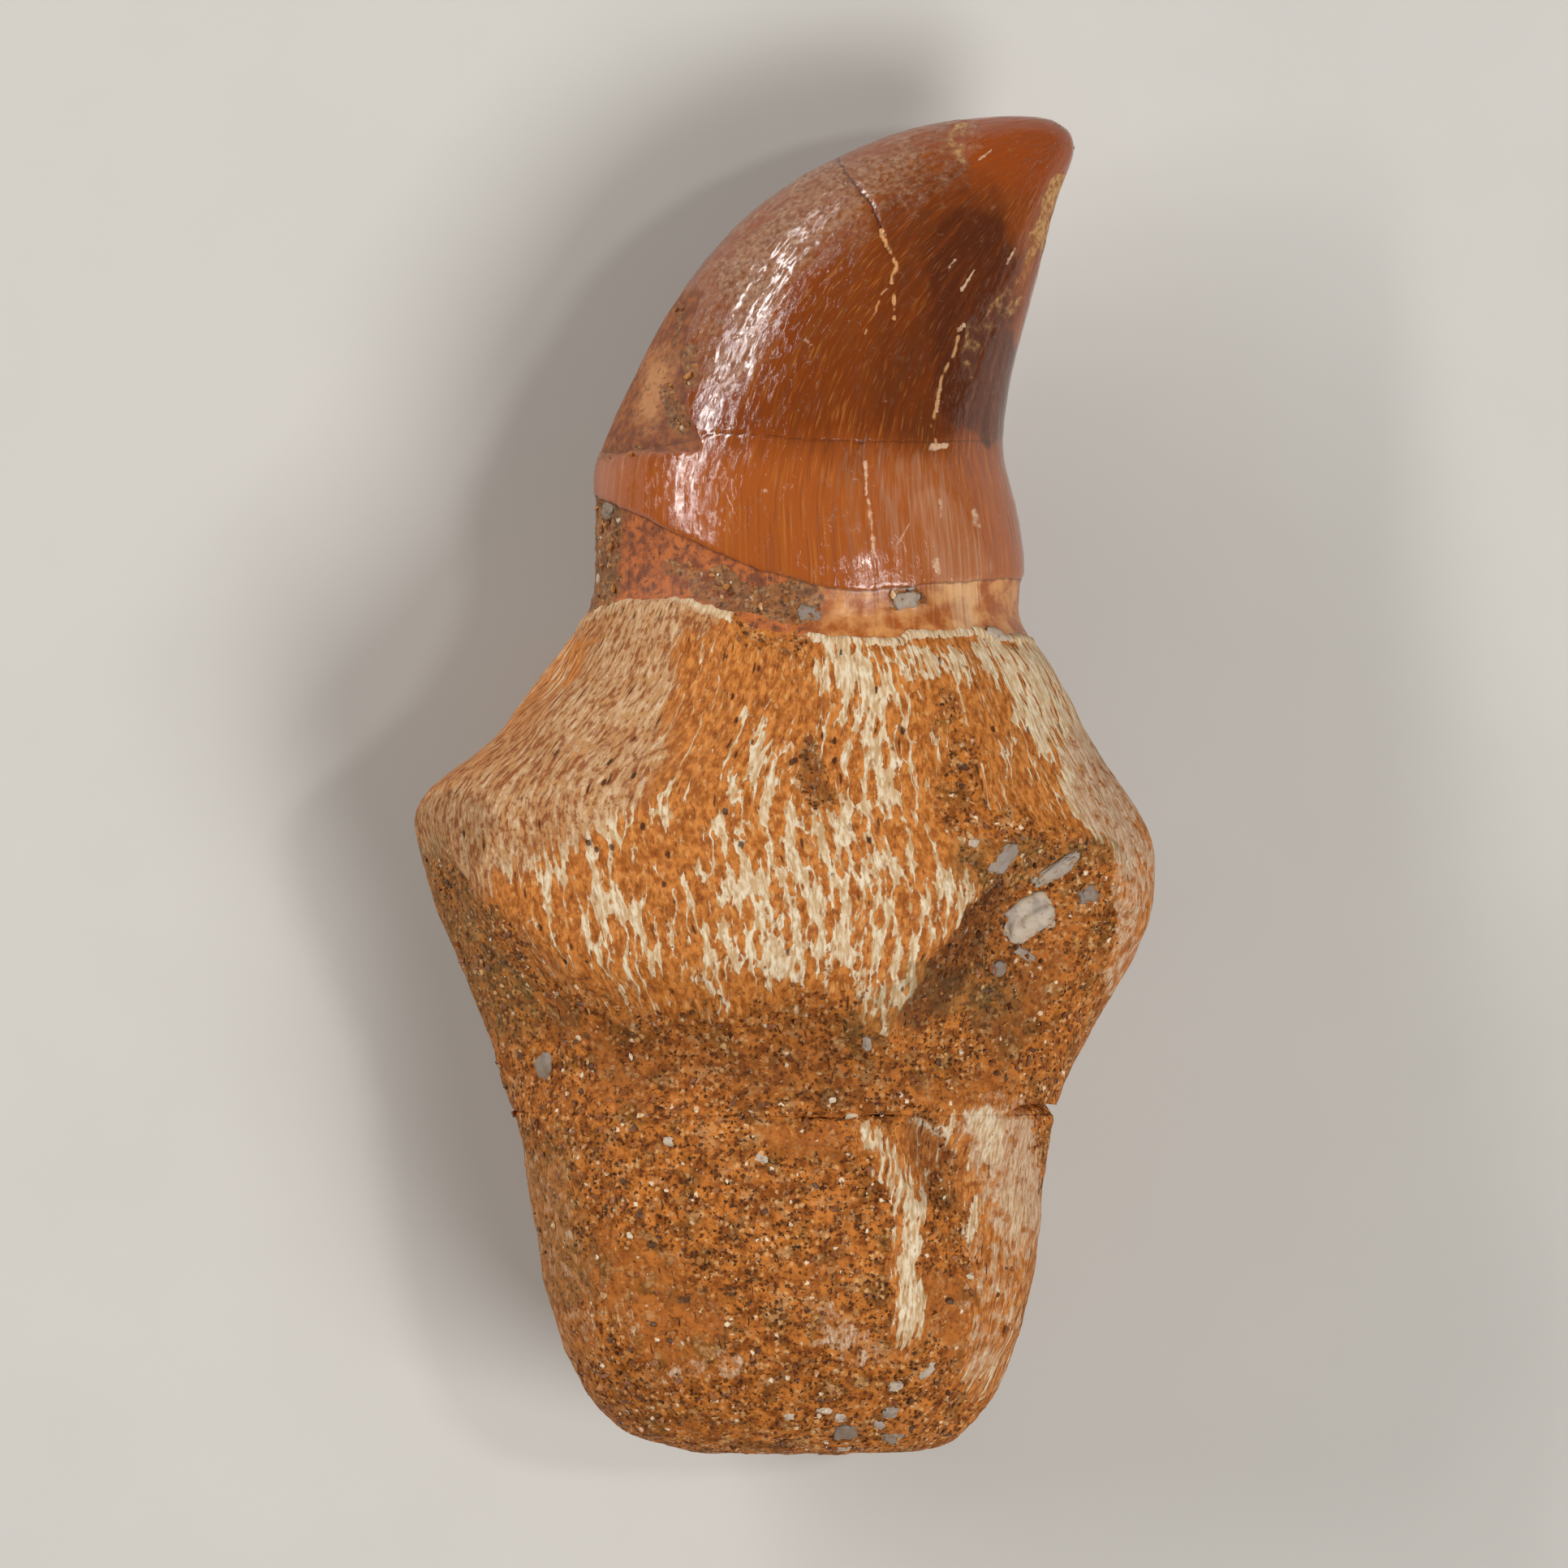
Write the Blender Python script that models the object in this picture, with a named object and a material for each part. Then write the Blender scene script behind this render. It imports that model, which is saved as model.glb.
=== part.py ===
"""A fossil marine lizard's tooth on its root, lying on its back.

Seen from above, +Y runs from the broken end of the root to the tip of the crown and the crown
hooks towards +X. +Z is up, and the origin is the middle of the box that the tooth fills, on the
surface that it lies on. The tooth grew as one piece, so it is one solid: a loft of ribs, from the
end of the root to the tip, with the relief of the weathered bone worked into it.
"""

import math

import bmesh
import bpy
from mathutils import Matrix, Vector, noise

MM = 0.001

# The driving sizes, in millimetres
ROOT_LENGTH = 34.0
ROOT_WIDTH = 30.1
ROOT_DEPTH = 19.4
CROWN_HEIGHT = 20.25
NECK_DEPTH = 14.2
CROWN_LEAN = 1.6  # how far the tip leans towards the surface below
WORN_DEPTH = 0.9  # how much of the back is worn away flat

# How finely the loft is cut: the sides of a ring, and the way between rings in millimetres
SIDES = 72
ROUGH_SPACING = 0.87
SMOOTH_SPACING = 2.0
SHARP_ANGLE = math.radians(40)

LENGTH = ROOT_LENGTH + CROWN_HEIGHT
HALF_WIDTH = ROOT_WIDTH / 2
HALF_DEPTH = ROOT_DEPTH / 2
HALF_NECK = NECK_DEPTH / 2
ROOT_END_Y = -LENGTH / 2
NECK_Y = ROOT_END_Y + ROOT_LENGTH

# Ribs of the root, from its end up to the neck. Each has its height as a share of the root's
# length, its reach to the left and to the right as shares of half the width, its reach to the
# front and to the back as shares of half the depth, and how square its outline is (2 is round).
ROOT_RIBS = (
    (0.002, 0.24, 0.38, 0.33, 0.33, 2.3),
    (0.020, 0.415, 0.47, 0.48, 0.47, 2.3),
    (0.052, 0.512, 0.53, 0.60, 0.58, 2.3),
    (0.090, 0.572, 0.578, 0.69, 0.66, 2.35),
    (0.146, 0.607, 0.636, 0.77, 0.74, 2.4),
    (0.228, 0.658, 0.667, 0.82, 0.81, 2.4),
    (0.308, 0.693, 0.678, 0.86, 0.87, 2.4),
    (0.370, 0.721, 0.711, 0.88, 0.90, 2.35),
    (0.408, 0.737, 0.734, 0.89, 0.92, 2.3),
    (0.454, 0.764, 0.771, 0.89, 0.94, 2.25),
    (0.515, 0.809, 0.837, 0.93, 0.97, 2.2),
    (0.582, 0.880, 0.924, 0.99, 0.99, 2.15),
    (0.647, 0.940, 0.993, 1.03, 1.00, 2.1),
    (0.708, 0.980, 0.993, 1.03, 0.99, 2.1),
    (0.750, 1.000, 0.963, 1.01, 0.98, 2.1),
    (0.779, 0.990, 0.930, 0.98, 0.96, 2.1),
    (0.806, 0.928, 0.890, 0.95, 0.94, 2.1),
    (0.837, 0.824, 0.848, 0.91, 0.91, 2.1),
    (0.891, 0.712, 0.760, 0.84, 0.85, 2.1),
    (0.949, 0.590, 0.672, 0.765, 0.775, 2.1),
    (1.000, 0.538, 0.642, 0.73, 0.74, 2.1),
)

# Ribs of the crown, from above the neck to the tip. Each has its left end and its right end, as
# shares of the crown's height to the side and up from the neck, its reach to the front and to the
# back as shares of half the neck's depth, and how square it is (under 2 leaves a keel each side).
CROWN_RIBS = (
    ((-0.394, 0.094), (0.476, 0.084), 0.98, 0.98, 2.0),
    ((-0.394, 0.188), (0.461, 0.202), 0.96, 0.96, 1.95),
    ((-0.376, 0.321), (0.428, 0.321), 0.92, 0.91, 1.9),
    ((-0.316, 0.459), (0.430, 0.385), 0.85, 0.83, 1.9),
    ((-0.247, 0.593), (0.444, 0.469), 0.77, 0.75, 1.85),
    ((-0.158, 0.721), (0.466, 0.553), 0.68, 0.66, 1.85),
    ((-0.049, 0.830), (0.487, 0.632), 0.59, 0.57, 1.85),
    ((0.074, 0.906), (0.508, 0.701), 0.50, 0.49, 1.85),
    ((0.202, 0.962), (0.525, 0.775), 0.42, 0.41, 1.9),
    ((0.326, 0.991), (0.540, 0.835), 0.335, 0.335, 1.9),
    ((0.430, 1.000), (0.555, 0.880), 0.26, 0.26, 1.95),
    ((0.512, 0.998), (0.569, 0.910), 0.18, 0.18, 2.0),
    ((0.548, 0.985), (0.576, 0.928), 0.11, 0.11, 2.0),
)
TIP = (0.578, 0.960)
CROWN_ROUGH_RIBS = 2  # the ribs up to which the rough neck reaches

# Lines across the tooth, as points (x, y) in millimetres, that the relief follows
LIP_LINE = ((-8.0, 6.6), (-6.4, 7.3), (-4.5, 7.4), (-1.7, 6.6), (1.1, 5.9), (4.8, 5.7), (10.0, 5.9))
ENAMEL_LINE = ((-8.0, 11.8), (-3.8, 9.8), (-0.9, 8.6), (2.8, 7.9), (9.8, 8.3))
FLARE_RIM = ((-15.2, -1.6), (-12.1, -4.8), (-8.8, -7.4), (-2.8, -8.1), (2.8, -7.6), (16.0, -6.0))
PIT_RIM = ((4.0, -9.4), (4.9, -7.6), (6.2, -5.6), (8.2, -3.5), (11.0, -2.1), (13.3, -3.0), (14.0, -5.6))
GROOVE_RIM = ((3.1, -13.9), (4.0, -15.6), (5.5, -17.8), (5.2, -19.6), (5.0, -22.3))
MENDED_BREAK = ((-3.2, -12.9), (0.0, -12.8), (3.0, -13.2))

# How far they stand out or sink in, in millimetres
LIP_HEIGHT = 0.38
BAND_DEPTH = 0.24
FLARE_RIM_HEIGHT = 0.30
TUCK_DEPTH = 0.80
WAVER = 0.55  # how far they stray from the drawn course
WAVER_LENGTH = 1.6

# Ridges, with the reach and the height of each
RIDGES = ((PIT_RIM, 2.1, 0.42), (GROOVE_RIM, 1.6, 0.42), (MENDED_BREAK, 1.0, -0.30))

# Hollows: the middle (x, y), half the length and half the width, the slope in degrees, the depth
FRONT_HOLLOWS = (
    ((10.2, -6.1), 5.5, 4.5, 58, 1.55),
    ((7.6, -10.6), 4.0, 3.0, 60, 0.80),
    ((6.4, -15.2), 2.6, 1.9, -60, 0.55),
    ((-10.4, -16.0), 5.0, 1.3, 98, 0.40),
    ((-3.0, -20.5), 2.6, 1.7, 20, 0.30),
)
BACK_HOLLOWS = (
    ((-9.6, -7.0), 4.6, 3.0, 70, 1.30),
    ((7.2, -15.5), 4.2, 1.8, 80, 0.70),
)

# Lumps of the weathered bone, and flutes along its fibres
LUMP_SIZE = 4.6
LUMP_HEIGHT = 0.34
FLUTE_WIDTH = 1.9
FLUTE_LENGTH = 6.0
FLUTE_HEIGHT = 0.26
BACK_FLUTE_WIDTH = 2.4
BACK_FLUTE_LENGTH = 11.0
BACK_FLUTE_HEIGHT = 0.5

JOIN_Y = -13.2  # the mended break right across the root
NOTCH = (11.6, -13.1)  # the chipped mouth of that break, on the right edge
NOTCH_SIZE = (3.2, 0.36, 9.0)
NOTCH_SLOPE = math.radians(-9)

# Pebbles of the rock, cemented into the hollow, the neck and the end of the root: the middle
# (x, y), the longest and the shortest half size in millimetres, and the slope in degrees
PEBBLES = (
    ((10.0, -5.35), 1.15, 0.72, 26),
    ((10.7, -3.35), 0.95, 0.42, 30),
    ((8.95, -2.9), 0.80, 0.38, 34),
    ((9.6, -7.7), 0.75, 0.45, -30),
    ((4.95, 7.35), 0.60, 0.42, 12),
    ((5.7, -23.8), 0.60, 0.42, 40),
    ((2.4, -26.2), 0.75, 0.50, 0),
)
PEBBLE_SUNK = 0.3  # these are shares of a pebble's shortest half size
PEBBLE_RISE = 0.8
PEBBLE_ROUGHNESS = 0.13

BONE_COLOUR = (0.47, 0.20, 0.07, 1)
BONE_ROUGHNESS = 0.7


def smooth_step(start, end, value):
    """0 before start and 1 after end, with a soft turn at each, whichever way they run."""
    share = min(1.0, max(0.0, (value - start) / (end - start)))
    return share * share * (3 - 2 * share)


def height_on(line, x):
    """The y of a line of points at x, straight between them."""
    for (x0, y0), (x1, y1) in zip(line, line[1:]):
        if x <= x1:
            return y0 + (y1 - y0) * max(0.0, x - x0) / (x1 - x0)
    return line[-1][1]


def waver(x, line_number):
    """How far a line strays from its drawn course at x, in millimetres."""
    return WAVER * noise.noise(Vector((x / WAVER_LENGTH, line_number, 0)))


def closeness(line, x, y, reach):
    """1 on a line of points and 0 from reach away, falling softly."""
    nearest = reach
    for start, end in zip(line, line[1:]):
        a, b, p = Vector(start), Vector(end), Vector((x, y))
        share = min(1.0, max(0.0, (p - a).dot(b - a) / (b - a).length_squared))
        nearest = min(nearest, (p - a.lerp(b, share)).length)
    return smooth_step(reach, 0, nearest)


def hollows_depth(hollows, x, y):
    """How deep a place lies in the oval hollows, in millimetres."""
    depth = 0.0
    for middle, half_length, half_width, slope, deepest in hollows:
        turned = Matrix.Rotation(-math.radians(slope), 2) @ (Vector((x, y)) - Vector(middle))
        from_middle = Vector((turned.x / half_length, turned.y / half_width)).length
        depth += deepest * smooth_step(1.0, 0.15, from_middle)
    return depth


def ribs():
    """All ribs as rows in millimetres: the left end, the right end, front, back, squareness, lean."""
    rows = []
    for height, left, right, front, back, square in ROOT_RIBS:
        y = ROOT_END_Y + height * ROOT_LENGTH
        ends = (-left * HALF_WIDTH, y, right * HALF_WIDTH, y)
        rows.append((*ends, front * HALF_DEPTH, back * HALF_DEPTH, square, 0.0))
    for left, right, front, back, square in CROWN_RIBS:
        ends = [share * CROWN_HEIGHT for share in (*left, *right)]
        ends[1] += NECK_Y
        ends[3] += NECK_Y
        lean = -CROWN_LEAN * ((left[1] + right[1]) / 2) ** 2
        rows.append((*ends, front * HALF_NECK, back * HALF_NECK, square, lean))
    return rows


def rib_places(rows):
    """How far along the tooth each rib lies, by the way that its two ends travel."""
    places = [0.0]
    for a, b in zip(rows, rows[1:]):
        way = math.dist(a[:2], b[:2]) + math.dist(a[2:4], b[2:4])
        places.append(places[-1] + way / 2)
    return places


def filled_out(rows):
    """The ribs and those between them, on a smooth curve: close on the bone, wider on the enamel."""
    places = rib_places(rows)
    filled = []
    for number in range(len(rows) - 1):
        span = places[number + 1] - places[number]
        rough = number < len(ROOT_RIBS) + CROWN_ROUGH_RIBS
        cuts = max(1, round(span / (ROUGH_SPACING if rough else SMOOTH_SPACING)))
        filled += [rib_between(rows, places, number, cut / cuts) for cut in range(cuts)]
    return filled + [rows[-1]]


def rib_between(rows, places, before, share):
    """The rib at a share of the way from one rib to the next."""
    after = before + 1
    span = places[after] - places[before]

    def slope(number, column):
        low, high = max(0, number - 1), min(len(rows) - 1, number + 1)
        return (rows[high][column] - rows[low][column]) / (places[high] - places[low])

    weights = (
        2 * share**3 - 3 * share**2 + 1,
        (share**3 - 2 * share**2 + share) * span,
        3 * share**2 - 2 * share**3,
        (share**3 - share**2) * span,
    )
    made = []
    for column in range(len(rows[0])):
        terms = (rows[before][column], slope(before, column), rows[after][column], slope(after, column))
        made.append(sum(weight * term for weight, term in zip(weights, terms)))
    return made


def all_round_relief(x, y):
    """The bone's lip, and the sunken band between it and the enamel."""
    below_lip = height_on(LIP_LINE, x) + waver(x, 0) - y
    lip = LIP_HEIGHT * smooth_step(-0.2, 0.4, below_lip) * smooth_step(4.0, 0.8, below_lip)
    below_enamel = height_on(ENAMEL_LINE, x) - y
    in_band = smooth_step(-0.3, 0.3, below_enamel) * smooth_step(0.3, -0.3, below_lip)
    return lip - BAND_DEPTH * in_band


def front_relief(x, y):
    """What the side seen from above has beyond the ribs' own shape."""
    below_rim = height_on(FLARE_RIM, x) + waver(x, 1) - y
    beside_pit = smooth_step(4.5, 2.0, x)
    above_break = smooth_step(0.0, 1.4, y - JOIN_Y - waver(x, 2))
    relief = -TUCK_DEPTH * smooth_step(-0.8, 1.4, below_rim) * above_break * beside_pit
    relief += FLARE_RIM_HEIGHT * smooth_step(2.6, 0.2, abs(below_rim - 0.4)) * beside_pit
    for line, reach, height in RIDGES:
        relief += height * closeness(line, x, y, reach)
    return relief - hollows_depth(FRONT_HOLLOWS, x, y)


def back_relief(x, y):
    """The side it lies on: long shallow flutes in the root, and old hollows beside them."""
    on_root = smooth_step(NECK_Y, NECK_Y - 4, y)
    flutes = noise.noise(Vector((x / BACK_FLUTE_WIDTH, y / BACK_FLUTE_LENGTH, 5)))
    return BACK_FLUTE_HEIGHT * flutes * on_root - hollows_depth(BACK_HOLLOWS, x, y)


def weathering(point):
    """Lumps of weathered bone and flutes along its fibres, which fade out below the enamel."""
    lumps = LUMP_HEIGHT * noise.noise(point / LUMP_SIZE)
    across = point.x / FLUTE_WIDTH + 7
    deep = point.z / FLUTE_WIDTH + 3
    flutes = FLUTE_HEIGHT * noise.noise(Vector((across, point.y / FLUTE_LENGTH, deep)))
    return (lumps + flutes) * smooth_step(NECK_Y + 1, NECK_Y - 2, point.y)


def ring_points(rib):
    """The points of one ring of the loft, in millimetres, starting at its right end."""
    left, right = Vector((rib[0], rib[1], rib[7])), Vector((rib[2], rib[3], rib[7]))
    front, back, square = rib[4:7]
    middle, across = (left + right) / 2, (right - left) / 2
    points = []
    for side in range(SIDES):
        turn = math.tau * side / SIDES
        along = math.copysign(abs(math.cos(turn)) ** (2 / square), math.cos(turn))
        rise = math.copysign(abs(math.sin(turn)) ** (2 / square), math.sin(turn))
        depth = front if rise > 0 else back
        outward = (across.normalized() * along + Vector((0, 0, rise))).normalized()
        point = middle + across * along + Vector((0, 0, rise * depth))
        to_front, to_back = smooth_step(0.1, 0.6, rise), smooth_step(-0.1, -0.6, rise)
        relief = all_round_relief(point.x, point.y) + weathering(point)
        relief += to_front * front_relief(point.x, point.y) + to_back * back_relief(point.x, point.y)
        points.append(point + outward * relief)
    return points


def loft(rings, tip):
    """A closed mesh over the rings, with a flat broken end at the first and a point at the last."""
    mesh = bmesh.new()
    loops = [[mesh.verts.new(point * MM) for point in ring] for ring in rings]
    for lower, upper in zip(loops, loops[1:]):
        for side in range(SIDES):
            after = (side + 1) % SIDES
            mesh.faces.new((lower[side], lower[after], upper[after], upper[side]))
    end = mesh.verts.new(sum(rings[0], Vector()) / SIDES * MM)
    point = mesh.verts.new(tip * MM)
    for side in range(SIDES):
        after = (side + 1) % SIDES
        mesh.faces.new((loops[0][after], loops[0][side], end))
        mesh.faces.new((loops[-1][side], loops[-1][after], point))
    bmesh.ops.recalc_face_normals(mesh, faces=mesh.faces)
    return mesh


def wear_flat(mesh, height):
    """Cuts away what lies below a height, and closes the cut with the one flat face it leaves."""
    geometry = mesh.verts[:] + mesh.edges[:] + mesh.faces[:]
    bmesh.ops.bisect_plane(
        mesh, geom=geometry, plane_co=(0, 0, height), plane_no=(0, 0, -1), clear_outer=True
    )
    rim = [edge for edge in mesh.edges if edge.is_boundary]
    bmesh.ops.holes_fill(mesh, edges=rim)


def bone_material():
    material = bpy.data.materials.new("fossil_bone")
    material.use_nodes = True
    shader = material.node_tree.nodes["Principled BSDF"]
    shader.inputs["Base Color"].default_value = BONE_COLOUR
    shader.inputs["Roughness"].default_value = BONE_ROUGHNESS
    return material


def surface_height(tooth, x, y):
    """The height of the tooth's upper side over a place, in metres."""
    return tooth.ray_cast(Vector((x, y, 1)), Vector((0, 0, -1)))[1].z


def pebble(number, tooth, collection):
    """A rough pebble, half sunk in the tooth's upper side, to be joined to it."""
    (x, y), long_half, short_half, slope = PEBBLES[number]
    place = Vector((x * MM, y * MM, 0))
    place.z = surface_height(tooth, place.x, place.y) - PEBBLE_SUNK * short_half * MM
    bpy.ops.mesh.primitive_ico_sphere_add(subdivisions=2, radius=1, location=place)
    stone = bpy.context.object
    stone.name = f"pebble_form_{number + 1}"
    stone.rotation_euler.z = math.radians(slope)
    stone.scale = (long_half * MM, short_half * MM, PEBBLE_RISE * short_half * MM)
    for vertex in stone.data.vertices:
        vertex.co *= 1 + PEBBLE_ROUGHNESS * noise.noise(vertex.co * 1.7 + Vector((number, 0, 0)))
    move_to(stone, collection)
    return stone


def notch_cutter(collection, mid_height):
    """The thin gap that the chipped mouth of the mended break leaves open."""
    place = (NOTCH[0] * MM, NOTCH[1] * MM, mid_height)
    bpy.ops.mesh.primitive_cube_add(size=1, location=place)
    cutter = bpy.context.object
    cutter.name = "break_mouth_form"
    cutter.rotation_euler.z = NOTCH_SLOPE
    cutter.scale = [size * MM for size in NOTCH_SIZE]
    move_to(cutter, collection)
    return cutter


def move_to(item, collection):
    for home in list(item.users_collection):
        home.objects.unlink(item)
    collection.objects.link(item)


def join(tooth, operation, form):
    """Adds the form to the tooth, or takes it away, and hides the form itself."""
    modifier = tooth.modifiers.new(form.name, "BOOLEAN")
    modifier.operation = operation
    modifier.object = form
    modifier.solver = "EXACT"
    form.hide_render = True
    form.display_type = "WIRE"


def make_tooth(parts, forms):
    rings = [ring_points(rib) for rib in filled_out(ribs())]
    tip_x, tip_height = TIP
    tip = Vector((tip_x * CROWN_HEIGHT, NECK_Y + tip_height * CROWN_HEIGHT, -CROWN_LEAN * tip_height**2))
    mesh = loft(rings, tip)
    lowest = min(vertex.co.z for vertex in mesh.verts)
    wear_flat(mesh, lowest + WORN_DEPTH * MM)

    low = Vector([min(vertex.co[axis] for vertex in mesh.verts) for axis in range(3)])
    high = Vector([max(vertex.co[axis] for vertex in mesh.verts) for axis in range(3)])
    middle = (low + high) / 2
    bmesh.ops.translate(mesh, verts=mesh.verts, vec=(-middle.x, -middle.y, -low.z))
    data = bpy.data.meshes.new("tooth")
    mesh.to_mesh(data)
    mesh.free()
    data.shade_smooth()
    data.set_sharp_from_angle(angle=SHARP_ANGLE)
    data.materials.append(bone_material())
    tooth = bpy.data.objects.new("tooth", data)
    parts.objects.link(tooth)

    bpy.context.view_layer.update()
    pebbles = [pebble(number, tooth, forms) for number in range(len(PEBBLES))]
    join(tooth, "DIFFERENCE", notch_cutter(forms, -low.z))
    for stone in pebbles:
        join(tooth, "UNION", stone)


def main():
    for item in list(bpy.data.objects):
        bpy.data.objects.remove(item)
    parts = bpy.data.collections.new("fossil_tooth")
    forms = bpy.data.collections.new("forms_joined_or_cut")
    for collection in (parts, forms):
        bpy.context.scene.collection.children.link(collection)
    make_tooth(parts, forms)


main()
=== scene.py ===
"""The looks of a fossil marine lizard's tooth that lies on its back, seen from straight above.

The solid is copied, smoothed and parted into the enamelled crown, the upper root and the lower
root, which were once broken apart and mended. Their relief is moved into the meshes, and masks
painted in strokes say where cream bone, orange stain, sandy rock and cracks lie, and where painted
shade, painted sheen and painted highlights lie. Sand grains and pebbles are pieces of their own.
All sizes and places in this script are in millimetres, in the frame's own directions: +Y towards
the tip, +X to the right, +Z up.
"""

import math

import bpy
import numpy as np
from mathutils import Euler, Matrix, Vector, noise


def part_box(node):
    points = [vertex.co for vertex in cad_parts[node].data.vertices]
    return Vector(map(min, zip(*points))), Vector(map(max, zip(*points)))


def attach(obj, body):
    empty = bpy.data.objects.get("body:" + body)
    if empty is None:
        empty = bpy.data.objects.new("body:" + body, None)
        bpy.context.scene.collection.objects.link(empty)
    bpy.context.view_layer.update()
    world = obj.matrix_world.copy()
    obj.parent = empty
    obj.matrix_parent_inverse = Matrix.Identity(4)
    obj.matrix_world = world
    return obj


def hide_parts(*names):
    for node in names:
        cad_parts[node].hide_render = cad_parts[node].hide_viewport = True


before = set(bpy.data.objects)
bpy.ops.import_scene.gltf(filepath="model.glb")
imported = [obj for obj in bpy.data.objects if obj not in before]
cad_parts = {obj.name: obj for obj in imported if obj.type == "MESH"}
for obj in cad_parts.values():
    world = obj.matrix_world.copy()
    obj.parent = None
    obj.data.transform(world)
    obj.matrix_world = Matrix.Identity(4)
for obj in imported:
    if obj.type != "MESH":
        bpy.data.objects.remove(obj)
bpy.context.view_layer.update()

MM = 0.001
LOW, HIGH = (np.array(corner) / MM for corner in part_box("tooth"))
LENGTH = HIGH[1] - LOW[1]
MIDDLE_Z = (LOW[2] + HIGH[2]) / 2

# Where the pieces part
BREAK_Y = -13.15
OVERLAP = 0.25
ROOT_TOP = 8.4
CROWN_BOTTOM = 4.2

# How fine the meshes are
FORM_VOXEL = 0.34
CROWN_VOXEL = 0.205
ROOT_VOXEL = 0.255

# How high the relief stands, and how deep it is cut
STRAND_HEIGHT = 0.05
PORE_DEPTH = 0.13
GRIT_HEIGHT = 0.11
PIT_RIM_HEIGHT = 0.16
GROOVE_RIM_HEIGHT = 0.20
LIP_HEIGHT = 0.10
LIP_DROP = 0.9
ENAMEL_HEIGHT = 0.10
CHIP_DEPTH = 0.13
STRIAE_HEIGHT = 0.012
PUCKER_HEIGHT = 0.10

# Lines over the tooth, seen from above
ENAMEL_LINE = (
    (-9.0, 12.0), (-7.7, 11.7), (-6.1, 11.0), (-3.8, 9.8), (-2.2, 9.1), (-0.9, 8.6),
    (1.1, 8.0), (2.8, 7.8), (4.8, 7.9), (7.1, 8.2), (10.5, 8.4),
)
LIP_LINE = (
    (-9.0, 6.6), (-8.0, 6.7), (-7.3, 7.1), (-6.5, 7.3), (-4.3, 7.4), (-3.2, 7.2), (-2.0, 6.8),
    (-1.4, 6.5), (0.6, 6.1), (1.5, 5.9), (4.7, 5.7), (5.0, 6.0), (7.7, 6.2), (8.9, 6.0), (10.5, 5.8),
)
FLARE_RIM = (
    (-15.4, -1.2), (-14.1, -3.1), (-12.1, -4.9), (-8.8, -7.6), (-6.1, -8.4), (0.1, -8.2),
    (2.8, -7.9), (4.1, -9.1), (16.0, -11.5),
)
PIT_RIM = ((3.6, -10.7), (4.3, -9.1), (5.2, -7.1), (6.4, -5.4), (7.7, -3.9), (9.0, -2.7), (10.7, -2.0),
           (12.3, -2.2), (13.5, -3.2), (13.9, -4.8))
GROOVE_RIM = (
    (3.1, -13.8), (3.9, -15.0), (4.8, -16.2), (5.4, -17.1), (5.4, -18.6), (5.1, -20.3), (5.0, -22.3),
)
LEFT_EDGE = (
    (-8.1, 6.0), (-7.9, 10.7), (-7.6, 13.4), (-6.4, 16.2), (-5.0, 18.9), (-3.2, 21.5), (-1.0, 23.7),
    (1.5, 25.2), (4.1, 26.4), (6.6, 26.9), (8.7, 27.1), (10.6, 27.0),
)
RIGHT_EDGE = ((9.7, 6.0), (9.4, 10.0), (8.7, 13.4), (8.7, 14.7), (9.0, 16.4), (9.45, 18.1), (9.85, 19.7),
              (10.3, 21.1), (10.9, 23.8), (11.2, 24.7), (11.6, 25.4))
TIP = (11.6, 26.2)

# Cracks in the enamel
FORKED_CRACK = ((2.2, 25.3), (2.6, 24.5), (3.1, 23.9), (3.6, 23.2), (3.9, 22.3), (4.2, 21.5), (4.5, 20.8),
                (4.3, 20.2), (4.4, 19.6), (4.4, 18.7))
FORK = ((4.3, 20.1), (3.9, 19.7), (3.6, 18.8), (3.2, 18.0))
CROSS_CRACK = (
    (-7.6, 13.4), (-5.8, 13.5), (-3.8, 13.8), (-2.8, 14.1), (-1.2, 14.0), (0.8, 13.8), (3.1, 13.7),
    (5.1, 13.7), (7.1, 13.8), (8.9, 13.9),
)
LONG_CRACK = (
    (3.3, 15.0), (3.2, 13.4), (3.2, 12.1), (3.3, 11.1), (3.4, 9.9), (3.7, 8.8), (3.8, 7.8), (3.8, 6.3),
)
SIDE_CRACK = ((7.1, 18.5), (6.8, 17.3), (6.3, 16.4), (6.1, 15.4), (5.9, 14.4), (6.1, 13.6))
CHIP_EDGE = (
    (-2.6, 21.4), (-2.8, 20.6), (-3.4, 19.5), (-3.9, 18.3), (-4.1, 17.0), (-3.9, 15.7), (-3.8, 14.9),
    (-3.4, 14.0),
)

# How deep the mended break is cut at each place across the root
BREAK_DEPTHS = ((-11.0, 0.0), (0.4, 0.02), (0.9, 0.22), (2.3, 0.32), (2.9, 0.05), (5.0, 0.01), (9.2, 0.05),
                (9.7, 0.9), (11.6, 1.5))

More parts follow.
